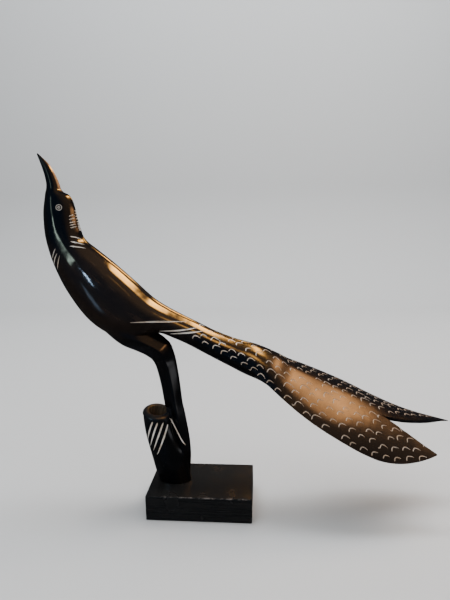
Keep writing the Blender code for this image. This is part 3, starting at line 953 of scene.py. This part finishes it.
choice = add(tree, "GeometryNodeJoinGeometry")[0]
for label in HOOK_ORDER:
    shape = add(tree, "GeometryNodeObjectInfo", {"Object": given[label], "As Instance": True})
    tree.links.new(shape["Geometry"], choice.node.inputs[0])
# where there is less room than a hook's reach, it is always the plain hook
roomy = calc(tree, "GREATER_THAN", named("room", "FLOAT"), given["Hook Reach"])
pick = add(tree, "FunctionNodeRandomValue", {4: 0, 5: HIGHEST_DRAW, 8: given["Seed"]},
           data_type="INT")[2]
pick = calc(tree, "MULTIPLY", calc(tree, "MINIMUM", pick, SHORT), roomy)

dots = add(tree, "GeometryNodeMeshToPoints", {"Mesh": given["Geometry"]})[0]
nudge = add(tree, "ShaderNodeCombineXYZ", {
    axis: either_way(given["Shift"], shift) for axis, shift in (("X", 1), ("Y", 2), ("Z", 3))})[0]
dots = add(tree, "GeometryNodeSetPosition", {"Geometry": dots, "Offset": nudge})[0]
seat = add(tree, "FunctionNodeAxesToRotation", {
    "Primary Axis": named("out"), "Secondary Axis": named("ahead")},
    primary_axis="Z", secondary_axis="X")[0]
own_turn = add(tree, "ShaderNodeCombineXYZ", {"Z": either_way(given["Turn"], 4)})[0]
own_turn = add(tree, "FunctionNodeEulerToRotation", {"Euler": own_turn})[0]
turned = add(tree, "FunctionNodeRotateRotation", {"Rotation": seat, "Rotate By": own_turn},
             rotation_space="LOCAL")[0]
own_size = chance(given["Smallest"], given["Largest"], 5)
own_size = add(tree, "ShaderNodeCombineXYZ", {"X": own_size, "Y": own_size, "Z": 1.0})[0]
laid = add(tree, "GeometryNodeInstanceOnPoints", {
    "Points": dots, "Instance": choice, "Pick Instance": True, "Instance Index": pick,
    "Rotation": turned, "Scale": own_size})[0]
laid = add(tree, "GeometryNodeRealizeInstances", {"Geometry": laid})[0]
print("feather marks:", len(tree.nodes), "nodes so far")

# %% The same tree: pressed on the skin and made cutters
skin = add(tree, "GeometryNodeObjectInfo", {"Object": given["Skin"]})["Geometry"]
nearest = add(tree, "GeometryNodeProximity", {"Geometry": skin}, target_element="FACES")
laid = add(tree, "GeometryNodeSetPosition", {
    "Geometry": laid, "Position": nearest["Position"]})[0]
facing = add(tree, "GeometryNodeInputNormal")[0]
facing = add(tree, "GeometryNodeSampleNearestSurface", {"Mesh": skin, "Value": facing},
             data_type="FLOAT_VECTOR")[0]
laid = add(tree, "GeometryNodeStoreNamedAttribute", {
    "Geometry": laid, "Name": "out", "Value": facing},
    data_type="FLOAT_VECTOR", domain="POINT")[0]
sizes = {label: given[label] for label in CUT_INPUTS}
result = add(tree, "GeometryNodeGroup", {"Geometry": laid, **sizes}, node_tree=v_cut)[0]
result = add(tree, "GeometryNodeRealizeInstances", {"Geometry": result})[0]
result = add(tree, "GeometryNodeSetMaterial", {
    "Geometry": result, "Material": given["Material"]})[0]
add(tree, "NodeGroupOutput", {"Geometry": result})
cutters.append(grow(marks, feather_marks, {
    "Skin": bird, "Plain Hook": hooks[0], "Curled Hook": hooks[1], "Short Hook": hooks[2],
    "Shift": 0.0007, "Turn": math.radians(17), "Smallest": 0.92, "Largest": 1.28, "Seed": 7,
    "Hook Reach": HOOK_REACH, "Width": 0.00068, "Depth": 0.00035, "Taper In": 0.05,
    "Taper Out": 0.35, "End Size": 0.45, "Material": scored}))
for thing in hooks:
    bpy.data.objects.remove(thing)
print("marks:", len(marks.data.polygons), "faces of cutters,", open_edges(marks.data), "open edges")

# %% [markdown]
# ## Cutting the lines
# Each set of cutters is taken out by one Boolean. Afterwards every corner of the polished faces
# takes its normal from the skin kept above, and only the cut faces keep flat ones, so a highlight
# runs straight past a line as it does on the real bird.

# %% Engrave the bird
bird.data.materials.clear()
bird.data.materials.append(horn)
for thing in cutters:
    shape = bmesh.new()
    shape.from_mesh(thing.data)
    bmesh.ops.recalc_face_normals(shape, faces=shape.faces)
    shape.to_mesh(thing.data)
    shape.free()
    name = thing.name
    combine(bird, thing, "DIFFERENCE")
    print(name, "cut:", len(bird.data.polygons), "faces")
print("engraved:", len(bird.data.polygons), "faces,", open_edges(bird.data), "open edges,",
      [slot.name for slot in bird.data.materials])

# %% Normals of the polished faces
INWARD = 0.05  # a corner is looked up this share of the way into its face
mesh = bird.data
cut_slot = list(mesh.materials).index(scored)
normals = [None] * len(mesh.loops)
for face in mesh.polygons:
    flat = face.material_index == cut_slot
    for loop in face.loop_indices:
        point = mesh.vertices[mesh.loops[loop].vertex_index].co
        inward = point + (face.center - point) * INWARD
        normals[loop] = face.normal.copy() if flat else polished.at(inward)[1]
mesh.shade_smooth()
mesh.normals_split_custom_set(normals)
print(len(normals), "corner normals set,",
      sum(len(face.vertices) - 2 for face in mesh.polygons), "triangles")

# %% [markdown]
# ## Polished horn
# Dark buffalo horn is nearly black, with brown streaks that follow its fibres and glow where the
# wall is thin, as at the beak, whose upper edge also carries a painted warm highlight. The body's
# colours are lifted by a painted warm sheen, and the head's black is tinted blue as a painted cool
# reflection, which the leg shares. The body was buffed to a mirror, and the tail, the leg and the
# stump to a softer shine. One material does all of it from the fibre map, with masks on Object
# coordinates for its colours and its degree of polish.

# %% Shader groups that more than one finish uses


def shader_group(name, inputs, outputs):
    """A shader tree with named numbers and vectors in, and masks or heights out."""
    tree = bpy.data.node_groups.new(name, "ShaderNodeTree")
    for label, kind in inputs.items():
        tree.interface.new_socket(label, in_out="INPUT", socket_type="NodeSocket" + kind)
    for label, kind in outputs.items():
        tree.interface.new_socket(label, in_out="OUTPUT", socket_type="NodeSocket" + kind)
    return tree, tree.nodes.new("NodeGroupInput").outputs


def ramp(tree, value, low, high, first=0.0, last=1.0):
    """A value brought smoothly from one range to another."""
    return add(tree, "ShaderNodeMapRange", {
        "Value": value, "From Min": low, "From Max": high, "To Min": first, "To Max": last},
        interpolation_type="SMOOTHSTEP")[0]


def blend_colours(tree, share, first, second):
    """The first colour where the share is 0, the second where it is 1."""
    return add(tree, "ShaderNodeMix", {0: share, 6: first, 7: second}, data_type="RGBA")[2]


def noise(tree, vector, scale, detail=3.0, roughness=0.5):
    """Soft noise from 0 to 1."""
    return add(tree, "ShaderNodeTexNoise", {
        "Vector": vector, "Scale": scale, "Detail": detail, "Roughness": roughness})["Fac"]


streaks, given = shader_group("streaks", {
    "Vector": "Vector", "Fineness": "Float", "Low": "Float", "High": "Float"}, {"Mask": "Float"})
wave = noise(streaks, given["Vector"], given["Fineness"], 4.0, 0.6)
add(streaks, "NodeGroupOutput", {"Mask": ramp(streaks, wave, given["Low"], given["High"])})

handling, given = shader_group("handling", {
    "Vector": "Vector", "Smudge Size": "Float", "Scratch Size": "Float"},
    {"Smudges": "Float", "Scratches": "Float"})
smudges = noise(handling, given["Vector"], given["Smudge Size"], 5.0, 0.55)
warped = add(handling, "ShaderNodeVectorMath", {0: given["Vector"], 1: (1.0, 6.0, 1.0)},
             operation="MULTIPLY")[0]
scratches = noise(handling, warped, given["Scratch Size"], 2.0, 0.7)
add(handling, "NodeGroupOutput", {"Smudges": ramp(handling, smudges, 0.35, 0.7),
                                  "Scratches": ramp(handling, scratches, 0.62, 0.70)})
print("shader groups:", streaks.name, handling.name)

# %% Where the horn's looks change
# where a mask starts and where it is full, in metres
ON_TAIL, ON_LEG, ON_HEAD = (-0.016, 0.030), (0.150, 0.130), (0.192, 0.214)
ON_NAPE, UNDER_CROWN = (0.205, 0.213), (0.246, 0.240)
ON_BEAK, UNDER_TIP = (0.244, 0.250), (0.272, 0.262)
# the same for the sine of the turn round the body, which is 1 at the crest
NAPE_CREST, BEAK_CREST = (0.55, 0.85), (0.76, 0.96)
# the same from the bore's middle, and above the rim's middle
RIM_ROUND, RIM_FROM, RIM_TO = (0.0140, 0.0095), (-0.010, -0.001), (0.0045, 0.002)
BORE_ROUND, BORE_FROM, BORE_TO = (0.0003, -0.0001), (-0.019, -0.018), (0.004, 0.003)
FIBRE_STRETCH = 8.0  # how fast the streaks change along the piece


def use(tree, group, plugs):
    """A shader group placed in a material with its own values; returns its outputs."""
    return add(tree, "ShaderNodeGroup", plugs, node_tree=group)


def fresh_tree(finish):
    """The emptied node tree of a material."""
    finish.use_nodes = True
    finish.node_tree.nodes.clear()
    return finish.node_tree


def times(tree, first, *masks):
    """The product of some masks."""
    for mask in masks:
        first = calc(tree, "MULTIPLY", first, mask)
    return first


def total(tree, first, *parts):
    """A number and some masks, each with its own weight."""
    for mask, weight in parts:
        first = calc(tree, "ADD", first, calc(tree, "MULTIPLY", mask, weight))
    return first


def streaked(tree, vector, fineness, low, high):
    """A mask of streaks along the fibres or the wood's grain."""
    return use(tree, streaks, {
        "Vector": vector, "Fineness": fineness, "Low": low, "High": high})["Mask"]


def ramp_from(tree, value, limits, zero=0.0):
    """A mask between two limits that are counted from a zero."""
    return ramp(tree, value, *(zero + limit for limit in limits))


tree = fresh_tree(horn)
where = add(tree, "ShaderNodeTexCoord")["Object"]
axes = add(tree, "ShaderNodeSeparateXYZ", {"Vector": where})
grain = add(tree, "ShaderNodeUVMap", uv_map="grain")[0]
grain = add(tree, "ShaderNodeSeparateXYZ", {"Vector": grain})
angle = calc(tree, "MULTIPLY", grain["Y"], 2 * math.pi)
crest = calc(tree, "SINE", angle)
fibres = add(tree, "ShaderNodeCombineXYZ", {
    "X": calc(tree, "MULTIPLY", grain["X"], FIBRE_STRETCH),
    "Y": calc(tree, "COSINE", angle), "Z": crest})[0]
to_bore = add(tree, "ShaderNodeVectorMath", {
    0: add(tree, "ShaderNodeCombineXYZ", {"X": axes["X"], "Y": axes["Y"]})[0],
    1: (float(FOOT[0] + RIM_ALONG * UNIT), float(FOOT[1]), 0.0)}, operation="DISTANCE")["Value"]
rim_height = float(FOOT[2] + RIM_HEIGHT * UNIT)

up = axes["Z"]
tail, foot = ramp(tree, axes["X"], *ON_TAIL), ramp(tree, up, *ON_LEG)
nape = times(tree, ramp(tree, up, *ON_NAPE), ramp(tree, up, *UNDER_CROWN),
             ramp(tree, crest, *NAPE_CREST))
# the beak's upper edge: the horn's own thin amber together with a painted warm highlight
amber_and_highlight = times(tree, ramp(tree, up, *ON_BEAK), ramp(tree, up, *UNDER_TIP),
              ramp(tree, crest, *BEAK_CREST))
# the head and the leg take the head's colours: a bluish black that is a painted cool reflection,
# without the body's painted warm sheen
dark = calc(tree, "MAXIMUM", ramp(tree, up, *ON_HEAD), foot)
near_mouth = times(tree, ramp(tree, to_bore, *RIM_ROUND),
                   ramp_from(tree, up, RIM_FROM, rim_height),
                   ramp_from(tree, up, RIM_TO, rim_height))
bored = times(tree, ramp_from(tree, to_bore, BORE_ROUND, MOUTH_BORE / 2),
              ramp_from(tree, up, BORE_FROM, rim_height),
              ramp_from(tree, up, BORE_TO, rim_height))
print("masks of the horn:", len(tree.nodes), "nodes")

# %% The horn's colours
# the body's black and brown are lifted by a painted warm sheen, and the head's black is tinted blue
# as a painted cool reflection; the brown streaks themselves are the horn's own
BODY_BLACK_WARM_SHEEN, BODY_BROWN_WARM_SHEEN = (0.0105, 0.0072, 0.0054, 1), (0.019, 0.012, 0.0078, 1)
HEAD_BLACK_COOL_SHEEN, HEAD_BROWN = (0.0014, 0.0018, 0.0026, 1), (0.0045, 0.0036, 0.0034, 1)
AMBER_AND_HIGHLIGHT, AMBER_AND_HIGHLIGHT_SHARE = (0.42, 0.20, 0.085, 1), 0.9
RIM_BLACK = (0.009, 0.0105, 0.013, 1)
BORE_DARK, BORE_PALE = (0.030, 0.020, 0.012, 1), (0.090, 0.062, 0.036, 1)

brown = streaked(tree, fibres, 5.0, 0.48, 0.72)
rasped = streaked(tree, fibres, 9.0, 0.35, 0.65)
colour = blend_colours(tree, dark, blend_colours(tree, brown, BODY_BLACK_WARM_SHEEN, BODY_BROWN_WARM_SHEEN),
                       blend_colours(tree, brown, HEAD_BLACK_COOL_SHEEN, HEAD_BROWN))
# the beak's amber band is partly the horn's glow and partly a painted warm highlight
colour = blend_colours(tree, calc(tree, "MULTIPLY", amber_and_highlight, AMBER_AND_HIGHLIGHT_SHARE), colour, AMBER_AND_HIGHLIGHT)
colour = blend_colours(tree, near_mouth, colour, RIM_BLACK)
colour = blend_colours(tree, bored, colour, blend_colours(tree, rasped, BORE_DARK, BORE_PALE))
print("with its colours:", len(tree.nodes), "nodes")

# %% The horn's polish and relief
SWELL_HEIGHT, FIBRE_HEIGHT = 0.00025, 0.000006  # metres of relief
FIBRES_OFF_TAIL = 0.15  # share of the fibres' relief away from the tail

touched = use(tree, handling, {"Vector": where, "Smudge Size": 60.0, "Scratch Size": 500.0})
polish = total(tree, 0.06, (tail, 0.045), (foot, 0.07), (near_mouth, 0.20), (nape, 0.08),
               (bored, 0.3), (touched["Smudges"], 0.05), (touched["Scratches"], 0.10))
swell = noise(tree, where, 55.0, 2.0)
fine = streaked(tree, fibres, 26.0, 0.3, 0.7)
strength = calc(tree, "MULTIPLY", calc(tree, "ADD", tail, FIBRES_OFF_TAIL), FIBRE_HEIGHT)
height = calc(tree, "ADD", calc(tree, "MULTIPLY", swell, SWELL_HEIGHT),
              calc(tree, "MULTIPLY", fine, strength))


def close_finish(tree, height, values, strength=1.0):
    """A bump from a height in metres, the Principled shader and the output."""
    bumps = add(tree, "ShaderNodeBump", {
        "Height": height, "Strength": strength, "Distance": 1.0})[0]
    shader = add(tree, "ShaderNodeBsdfPrincipled", {**values, "Normal": bumps})[0]
    add(tree, "ShaderNodeOutputMaterial", {"Surface": shader})


close_finish(tree, height, {
    "Base Color": colour, "Roughness": polish, "IOR": 1.56, "Specular IOR Level": 0.35})
print("horn:", len(tree.nodes), "nodes")

# %% The finish of the cuts
SCRAPED, SCRAPED_OLD = (0.80, 0.75, 0.70, 1), (0.62, 0.52, 0.42, 1)
# towards the tail's end the marks are blended to a darker warm tone, a painted warm light
TAIL_WARM_LIGHT_TONE, DIRT_TONE = (0.28, 0.195, 0.13, 1), (0.10, 0.06, 0.04, 1)
TONED_FROM, TONED_TO, TONED_SHARE = 0.0, 0.07, 0.75  # the marks are duller towards the tail's end
DIRT_HEIGHT = 0.00012

tree = fresh_tree(scored)
where = add(tree, "ShaderNodeTexCoord")["Object"]
dirt = noise(tree, where, 420.0, 4.0, 0.6)
worn = noise(tree, where, 90.0, 2.0)
along = add(tree, "ShaderNodeSeparateXYZ", {"Vector": where})["X"]
colour = blend_colours(tree, ramp(tree, worn, 0.35, 0.65), SCRAPED, SCRAPED_OLD)
# painted warm light on the marks towards the tail's end
warm_lit = ramp(tree, along, TONED_FROM, TONED_TO, 0.0, TONED_SHARE)
colour = blend_colours(tree, warm_lit, colour, TAIL_WARM_LIGHT_TONE)
colour = blend_colours(tree, ramp(tree, dirt, 0.55, 0.70, 0.0, 0.6), colour, DIRT_TONE)
close_finish(tree, calc(tree, "MULTIPLY", dirt, DIRT_HEIGHT), {
    "Base Color": colour, "Roughness": 0.55}, strength=0.8)
print("cuts:", len(tree.nodes), "nodes")

# %% [markdown]
# ## Black painted plinth
# The plinth is a block of hardwood under satin black paint. The wood's grain still tells through
# the paint as fine ridges along its length, and the long front edge has been knocked so often
# that the paint is worn to a thin pale line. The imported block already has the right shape, so it
# stays and only gets this finish.

# %% The plinth's finish
PAINT, PAINT_IN_PORES = (0.0085, 0.0085, 0.0085, 1), (0.0125, 0.012, 0.0115, 1)
BARE_WOOD = (0.15, 0.13, 0.12, 1)
EDGE_WEAR = (0.0009, 0.0004)  # metres from the edge where the wear starts and is full
PORE_STRETCH = (40.0, 900.0, 900.0)  # long and narrow, as the wood's grain
PORE_HEIGHT, WEAR_HEIGHT = 0.000012, -0.00005

painted = bpy.data.materials.new("black painted wood")
tree = fresh_tree(painted)
low, high = (np.array(corner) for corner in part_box("plinth"))
where = add(tree, "ShaderNodeTexCoord")["Object"]
axes = add(tree, "ShaderNodeSeparateXYZ", {"Vector": where})
lengthwise = add(tree, "ShaderNodeVectorMath", {0: where, 1: PORE_STRETCH},
                 operation="MULTIPLY")[0]
pores = streaked(tree, lengthwise, 1.0, 0.35, 0.7)
touch = use(tree, handling, {"Vector": where, "Smudge Size": 70.0, "Scratch Size": 300.0})
to_front = calc(tree, "SUBTRACT", axes["Y"], float(low[1]))
to_top = calc(tree, "SUBTRACT", float(high[2]), axes["Z"])
at_edge = times(tree, ramp(tree, to_front, *EDGE_WEAR), ramp(tree, to_top, *EDGE_WEAR))
chips = ramp(tree, noise(tree, where, 190.0, 4.0, 0.7), 0.48, 0.66)
wear = times(tree, at_edge, chips)
colour = blend_colours(tree, pores, PAINT, PAINT_IN_PORES)
colour = blend_colours(tree, wear, colour, BARE_WOOD)
gloss = total(tree, 0.19, (touch["Smudges"], 0.10), (wear, 0.3))
height = total(tree, calc(tree, "MULTIPLY", pores, PORE_HEIGHT), (wear, WEAR_HEIGHT))
close_finish(tree, height, {
    "Base Color": colour, "Roughness": gloss, "IOR": 1.5, "Specular IOR Level": 0.3})
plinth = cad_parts["plinth"]
for slot in plinth.material_slots:
    slot.material = painted
print("plinth:", len(tree.nodes), "nodes,", [slot.material.name for slot in plinth.material_slots])

# %% [markdown]
# ## The bird in its place, floor and camera
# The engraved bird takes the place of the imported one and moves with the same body. The floor
# and the wall behind it are one plain pale sweep. The camera stands where the photo was taken
# from: its place, turn and focal length were fitted to corners and straight lines in the photo.

# %% Put the bird in its place
bird.name = bird.data.name = "carved_bird"
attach(bird, "root")
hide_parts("bird")

# %% Floor and wall
FLOOR_FROM, WALL_AT, WALL_TOP, HALF_WIDTH = -3.0, 0.85, 3.0, 4.0
BEND, BEND_STEPS = 0.35, 16  # radius and steps of the curve between floor and wall
FLOOR_GREY, FLOOR_ROUGHNESS = (0.50, 0.50, 0.50, 1), 0.8


def sweep():
    """A floor that curves up into a wall, with a plain pale finish."""
    profile = [(FLOOR_FROM, 0.0), (WALL_AT, 0.0)]
    for step in range(1, BEND_STEPS + 1):
        turn = math.pi / 2 * step / BEND_STEPS
        profile.append((WALL_AT + BEND * math.sin(turn), BEND - BEND * math.cos(turn)))
    profile.append((WALL_AT + BEND, WALL_TOP))
    shape = bmesh.new()
    left, right = ([shape.verts.new((x, y, z)) for y, z in profile]
                   for x in (-HALF_WIDTH, HALF_WIDTH))
    for step in range(len(profile) - 1):
        shape.faces.new((left[step], right[step], right[step + 1], left[step + 1]))
    mesh = bpy.data.meshes.new("floor")
    shape.to_mesh(mesh)
    shape.free()
    mesh.shade_smooth()
    finish = bpy.data.materials.new("pale floor")
    finish.use_nodes = True
    shader = finish.node_tree.nodes["Principled BSDF"]
    shader.inputs["Base Color"].default_value = FLOOR_GREY
    shader.inputs["Roughness"].default_value = FLOOR_ROUGHNESS
    mesh.materials.append(finish)
    return linked("floor", mesh)


floor = sweep()
floor.visible_glossy = False  # the horn doesn't mirror it, as the markdown below says
print("floor and wall:", len(floor.data.polygons), "faces")

# %% Camera
CAMERA_PLACE = (0.0476, -0.3292, 0.2174)
YAW, PITCH, ROLL = math.radians(-4.69), math.radians(9.14), math.radians(0.95)
FOCAL_PIXELS, IMAGE_HEIGHT, FILM_WIDTH = 451, 600, 36

ahead = Vector((math.sin(YAW) * math.cos(PITCH), math.cos(YAW) * math.cos(PITCH), -math.sin(PITCH)))
right = Vector((math.cos(YAW), -math.sin(YAW), 0.0))
down = ahead.cross(right)
turned_right = right * math.cos(ROLL) + down * math.sin(ROLL)
turned_down = down * math.cos(ROLL) - right * math.sin(ROLL)
lens = bpy.data.cameras.new("camera")
lens.sensor_width = FILM_WIDTH
lens.lens = FOCAL_PIXELS / IMAGE_HEIGHT * FILM_WIDTH
lens.clip_start = 0.01
camera = linked("camera", lens)
camera.matrix_world = Matrix.Translation(CAMERA_PLACE) @ Matrix(
    (turned_right, -turned_down, -ahead)).transposed().to_4x4()
bpy.context.scene.camera = camera
print("lens", round(lens.lens, 2), "mm")

# %% [markdown]
# ## Light in two kinds
# Black horn is seen by what it mirrors, so the light comes in two kinds. Cards are soft-edged
# panels that only show in the polish: a warm lamp draws the line along the back, a warm screen
# the one on the tail, and a cool window the one down the throat. Washes only light the floor, the
# wall and the pale cuts. The floor itself isn't mirrored, because it is dark round the real bird,
# and a pale floor would turn the black horn grey. What the polish mirrors besides is a soft glow
# of the world, warm where the lamp stands and blue where the window is.

# %% Soft-edged lights
FULL_ACROSS, FULL_ALONG, EDGE = 0.1, 0.3, 0.5  # shares of a light's size, from its middle


def direction(azimuth, rise):
    """A way seen from the bird; azimuth runs from +Y towards +X, in degrees."""
    azimuth, rise = math.radians(azimuth), math.radians(rise)
    return Vector((math.sin(azimuth) * math.cos(rise), math.cos(azimuth) * math.cos(rise),
                   math.sin(rise)))


def flat_light(name, place, axes, size, radiance, colour, spread=180):
    """A rectangular light, brightest in its middle, as bright at any size and spread.

    Its axes are the ways of its width and height, and the way back from where it shines.
    """
    lamp = bpy.data.lights.new(name, "AREA")
    lamp.shape, lamp.size, lamp.size_y = "RECTANGLE", *size
    lamp.spread, half = math.radians(spread), math.radians(spread / 2)
    kept = math.sin(half) ** 2 - (half - math.sin(half) * math.cos(half)) / math.tan(half)
    lamp.energy, lamp.color = radiance * math.pi * size[0] * size[1] * kept, colour
    lamp.use_nodes = True
    tree = lamp.node_tree
    spot = add(tree, "ShaderNodeNewGeometry")["Parametric"]
    spot = add(tree, "ShaderNodeSeparateXYZ", {0: spot})
    shares = []
    for way, full in (("X", FULL_ACROSS), ("Y", FULL_ALONG)):
        off_middle = calc(tree, "ABSOLUTE", calc(tree, "SUBTRACT", spot[way], 0.5))
        shares.append(ramp(tree, off_middle, EDGE, full))
    tree.links.new(times(tree, *shares), tree.nodes["Emission"].inputs["Strength"])
    thing = linked(name, lamp)
    thing.matrix_world = Matrix.Translation(place) @ axes.to_4x4()
    return thing


def soft_light(name, about, azimuth, rise, distance, size, *looks):
    """A light that faces a spot of the bird from a direction and a distance."""
    way = direction(azimuth, rise)
    axes = way.to_track_quat("Z", "Y").to_matrix()
    return flat_light(name, about + way * distance, axes, size, *looks)


def strip_light(name, about, start, end, width, *looks):
    """A light along a line from start to end that turns its face to a spot of the bird."""
    start, end = Vector(start), Vector(end)
    middle, long = (start + end) / 2, (end - start).normalized()
    way = middle - about
    way = (way - long * way.dot(long)).normalized()
    axes = Matrix((long.cross(way), long, way)).transposed()
    return flat_light(name, middle, axes, (width, (end - start).length), *looks)


print("edges fade from", FULL_ACROSS, "across and", FULL_ALONG, "along to", EDGE)

# %% The glow of the room
LAMP_SIDE, WINDOW_SIDE = direction(135, 52), direction(-150, 12)
LAMP_GLOW, WINDOW_GLOW = (0.60, 0.37, 0.22, 1), (0.04, 0.085, 0.16, 1)
ROOM_DARK, SKY_GREY = (0.045, 0.045, 0.05, 1), (0.38, 0.39, 0.40, 1)

world = bpy.data.worlds.new("studio")
world.use_nodes = True
tree = world.node_tree
seen = add(tree, "ShaderNodeTexCoord")["Generated"]
to_lamp, to_window = (add(tree, "ShaderNodeVectorMath", {0: seen, 1: side},
                          operation="DOT_PRODUCT")["Value"] for side in (LAMP_SIDE, WINDOW_SIDE))
glow = blend_colours(tree, ramp(tree, to_lamp, 0.58, 0.99), ROOM_DARK, LAMP_GLOW)
glow = blend_colours(tree, ramp(tree, to_window, 0.50, 0.98), glow, WINDOW_GLOW)
mirrored = add(tree, "ShaderNodeLightPath")["Is Glossy Ray"]
room = blend_colours(tree, mirrored, SKY_GREY, glow)
tree.links.new(room, tree.nodes["Background"].inputs["Color"])
bpy.context.scene.world = world
print("world:", len(tree.nodes), "nodes")

# %% Cards and washes
LAMP, TAN = (1.0, 0.47, 0.10), (1.0, 0.46, 0.17)
COOL, BLUE, WHITE = (0.78, 1.0, 0.86), (0.50, 0.72, 1.0), (0.96, 0.96, 1.0)
# the spots that the lights face
BACK, THROAT = Vector((-0.05, 0, 0.17)), Vector((-0.09, -0.01, 0.19))
BELLY, LEG = Vector((-0.065, -0.01, 0.155)), Vector((-0.02, 0, 0.09))
TAIL_ROOT, TAIL_MIDDLE = Vector((0.035, -0.012, 0.125)), Vector((0.095, -0.013, 0.09))
FLOOR_BEHIND, WALL_MIDDLE = Vector((0, 0.3, 0)), Vector((0, 1.2, 0.5))

# a strip: spot, start, end, width; a soft light: spot, azimuth, rise, distance, size;
# then for both radiance, colour and, where it is narrow, the spread in degrees
cards = [
    strip_light("warm lamp", BACK, (0.50, -0.20, 1.00), (0.38, 0.66, 0.90), 0.22, 72.0, LAMP),
    soft_light("second warm lamp", BACK, 14, 33, 1.0, (0.10, 0.34), 40.0, LAMP),
    strip_light("warm screen", TAIL_MIDDLE, (0.338, -0.30, 0.385), (0.368, 0.34, 0.345), 0.085,
                27.0, TAN, 86),
    soft_light("warm lamp's shade", TAIL_ROOT, 158, 46, 0.42, (0.10, 0.18), 44.0, LAMP, 20),
    strip_light("window", THROAT, (-0.835, -0.69, 0.16), (-0.57, -0.87, 0.43), 0.060, 12.0, COOL),
    strip_light("window's upper part", THROAT, (-0.61, -0.80, 0.38), (-0.61, -0.74, 0.80), 0.16,
                3.0, COOL),
    strip_light("bright pane", BELLY, (-0.585, -0.87, 0.07), (-0.575, -0.88, 0.25), 0.019,
                140.0, BLUE),
    strip_light("window's gleam", BELLY, (-0.24, -0.175, 0.004), (-0.66, -0.61, 0.004), 0.065,
                2.0, BLUE),
    soft_light("low card", LEG, 107, -7, 0.8, (0.5, 0.13), 1.4, WHITE)]
washes = [
    soft_light("key", BACK, 60, 55, 1.5, (0.9, 0.7), 14.0, (1.0, 0.95, 0.88)),
    soft_light("fill", FLOOR_BEHIND, 200, 70, 2.0, (2.4, 2.0), 3.5, (0.92, 0.97, 1.0)),
    soft_light("wall wash", WALL_MIDDLE, 180, 54, 1.7, (2.5, 0.6), 15.0, (0.90, 0.95, 1.0))]
for card in cards:
    card.visible_diffuse = False  # shows in the polish, but doesn't light the floor
for wash in washes:
    wash.visible_glossy = False  # lights floor, wall and cuts, but isn't mirrored
for thing in cards + washes:
    thing.visible_camera = False
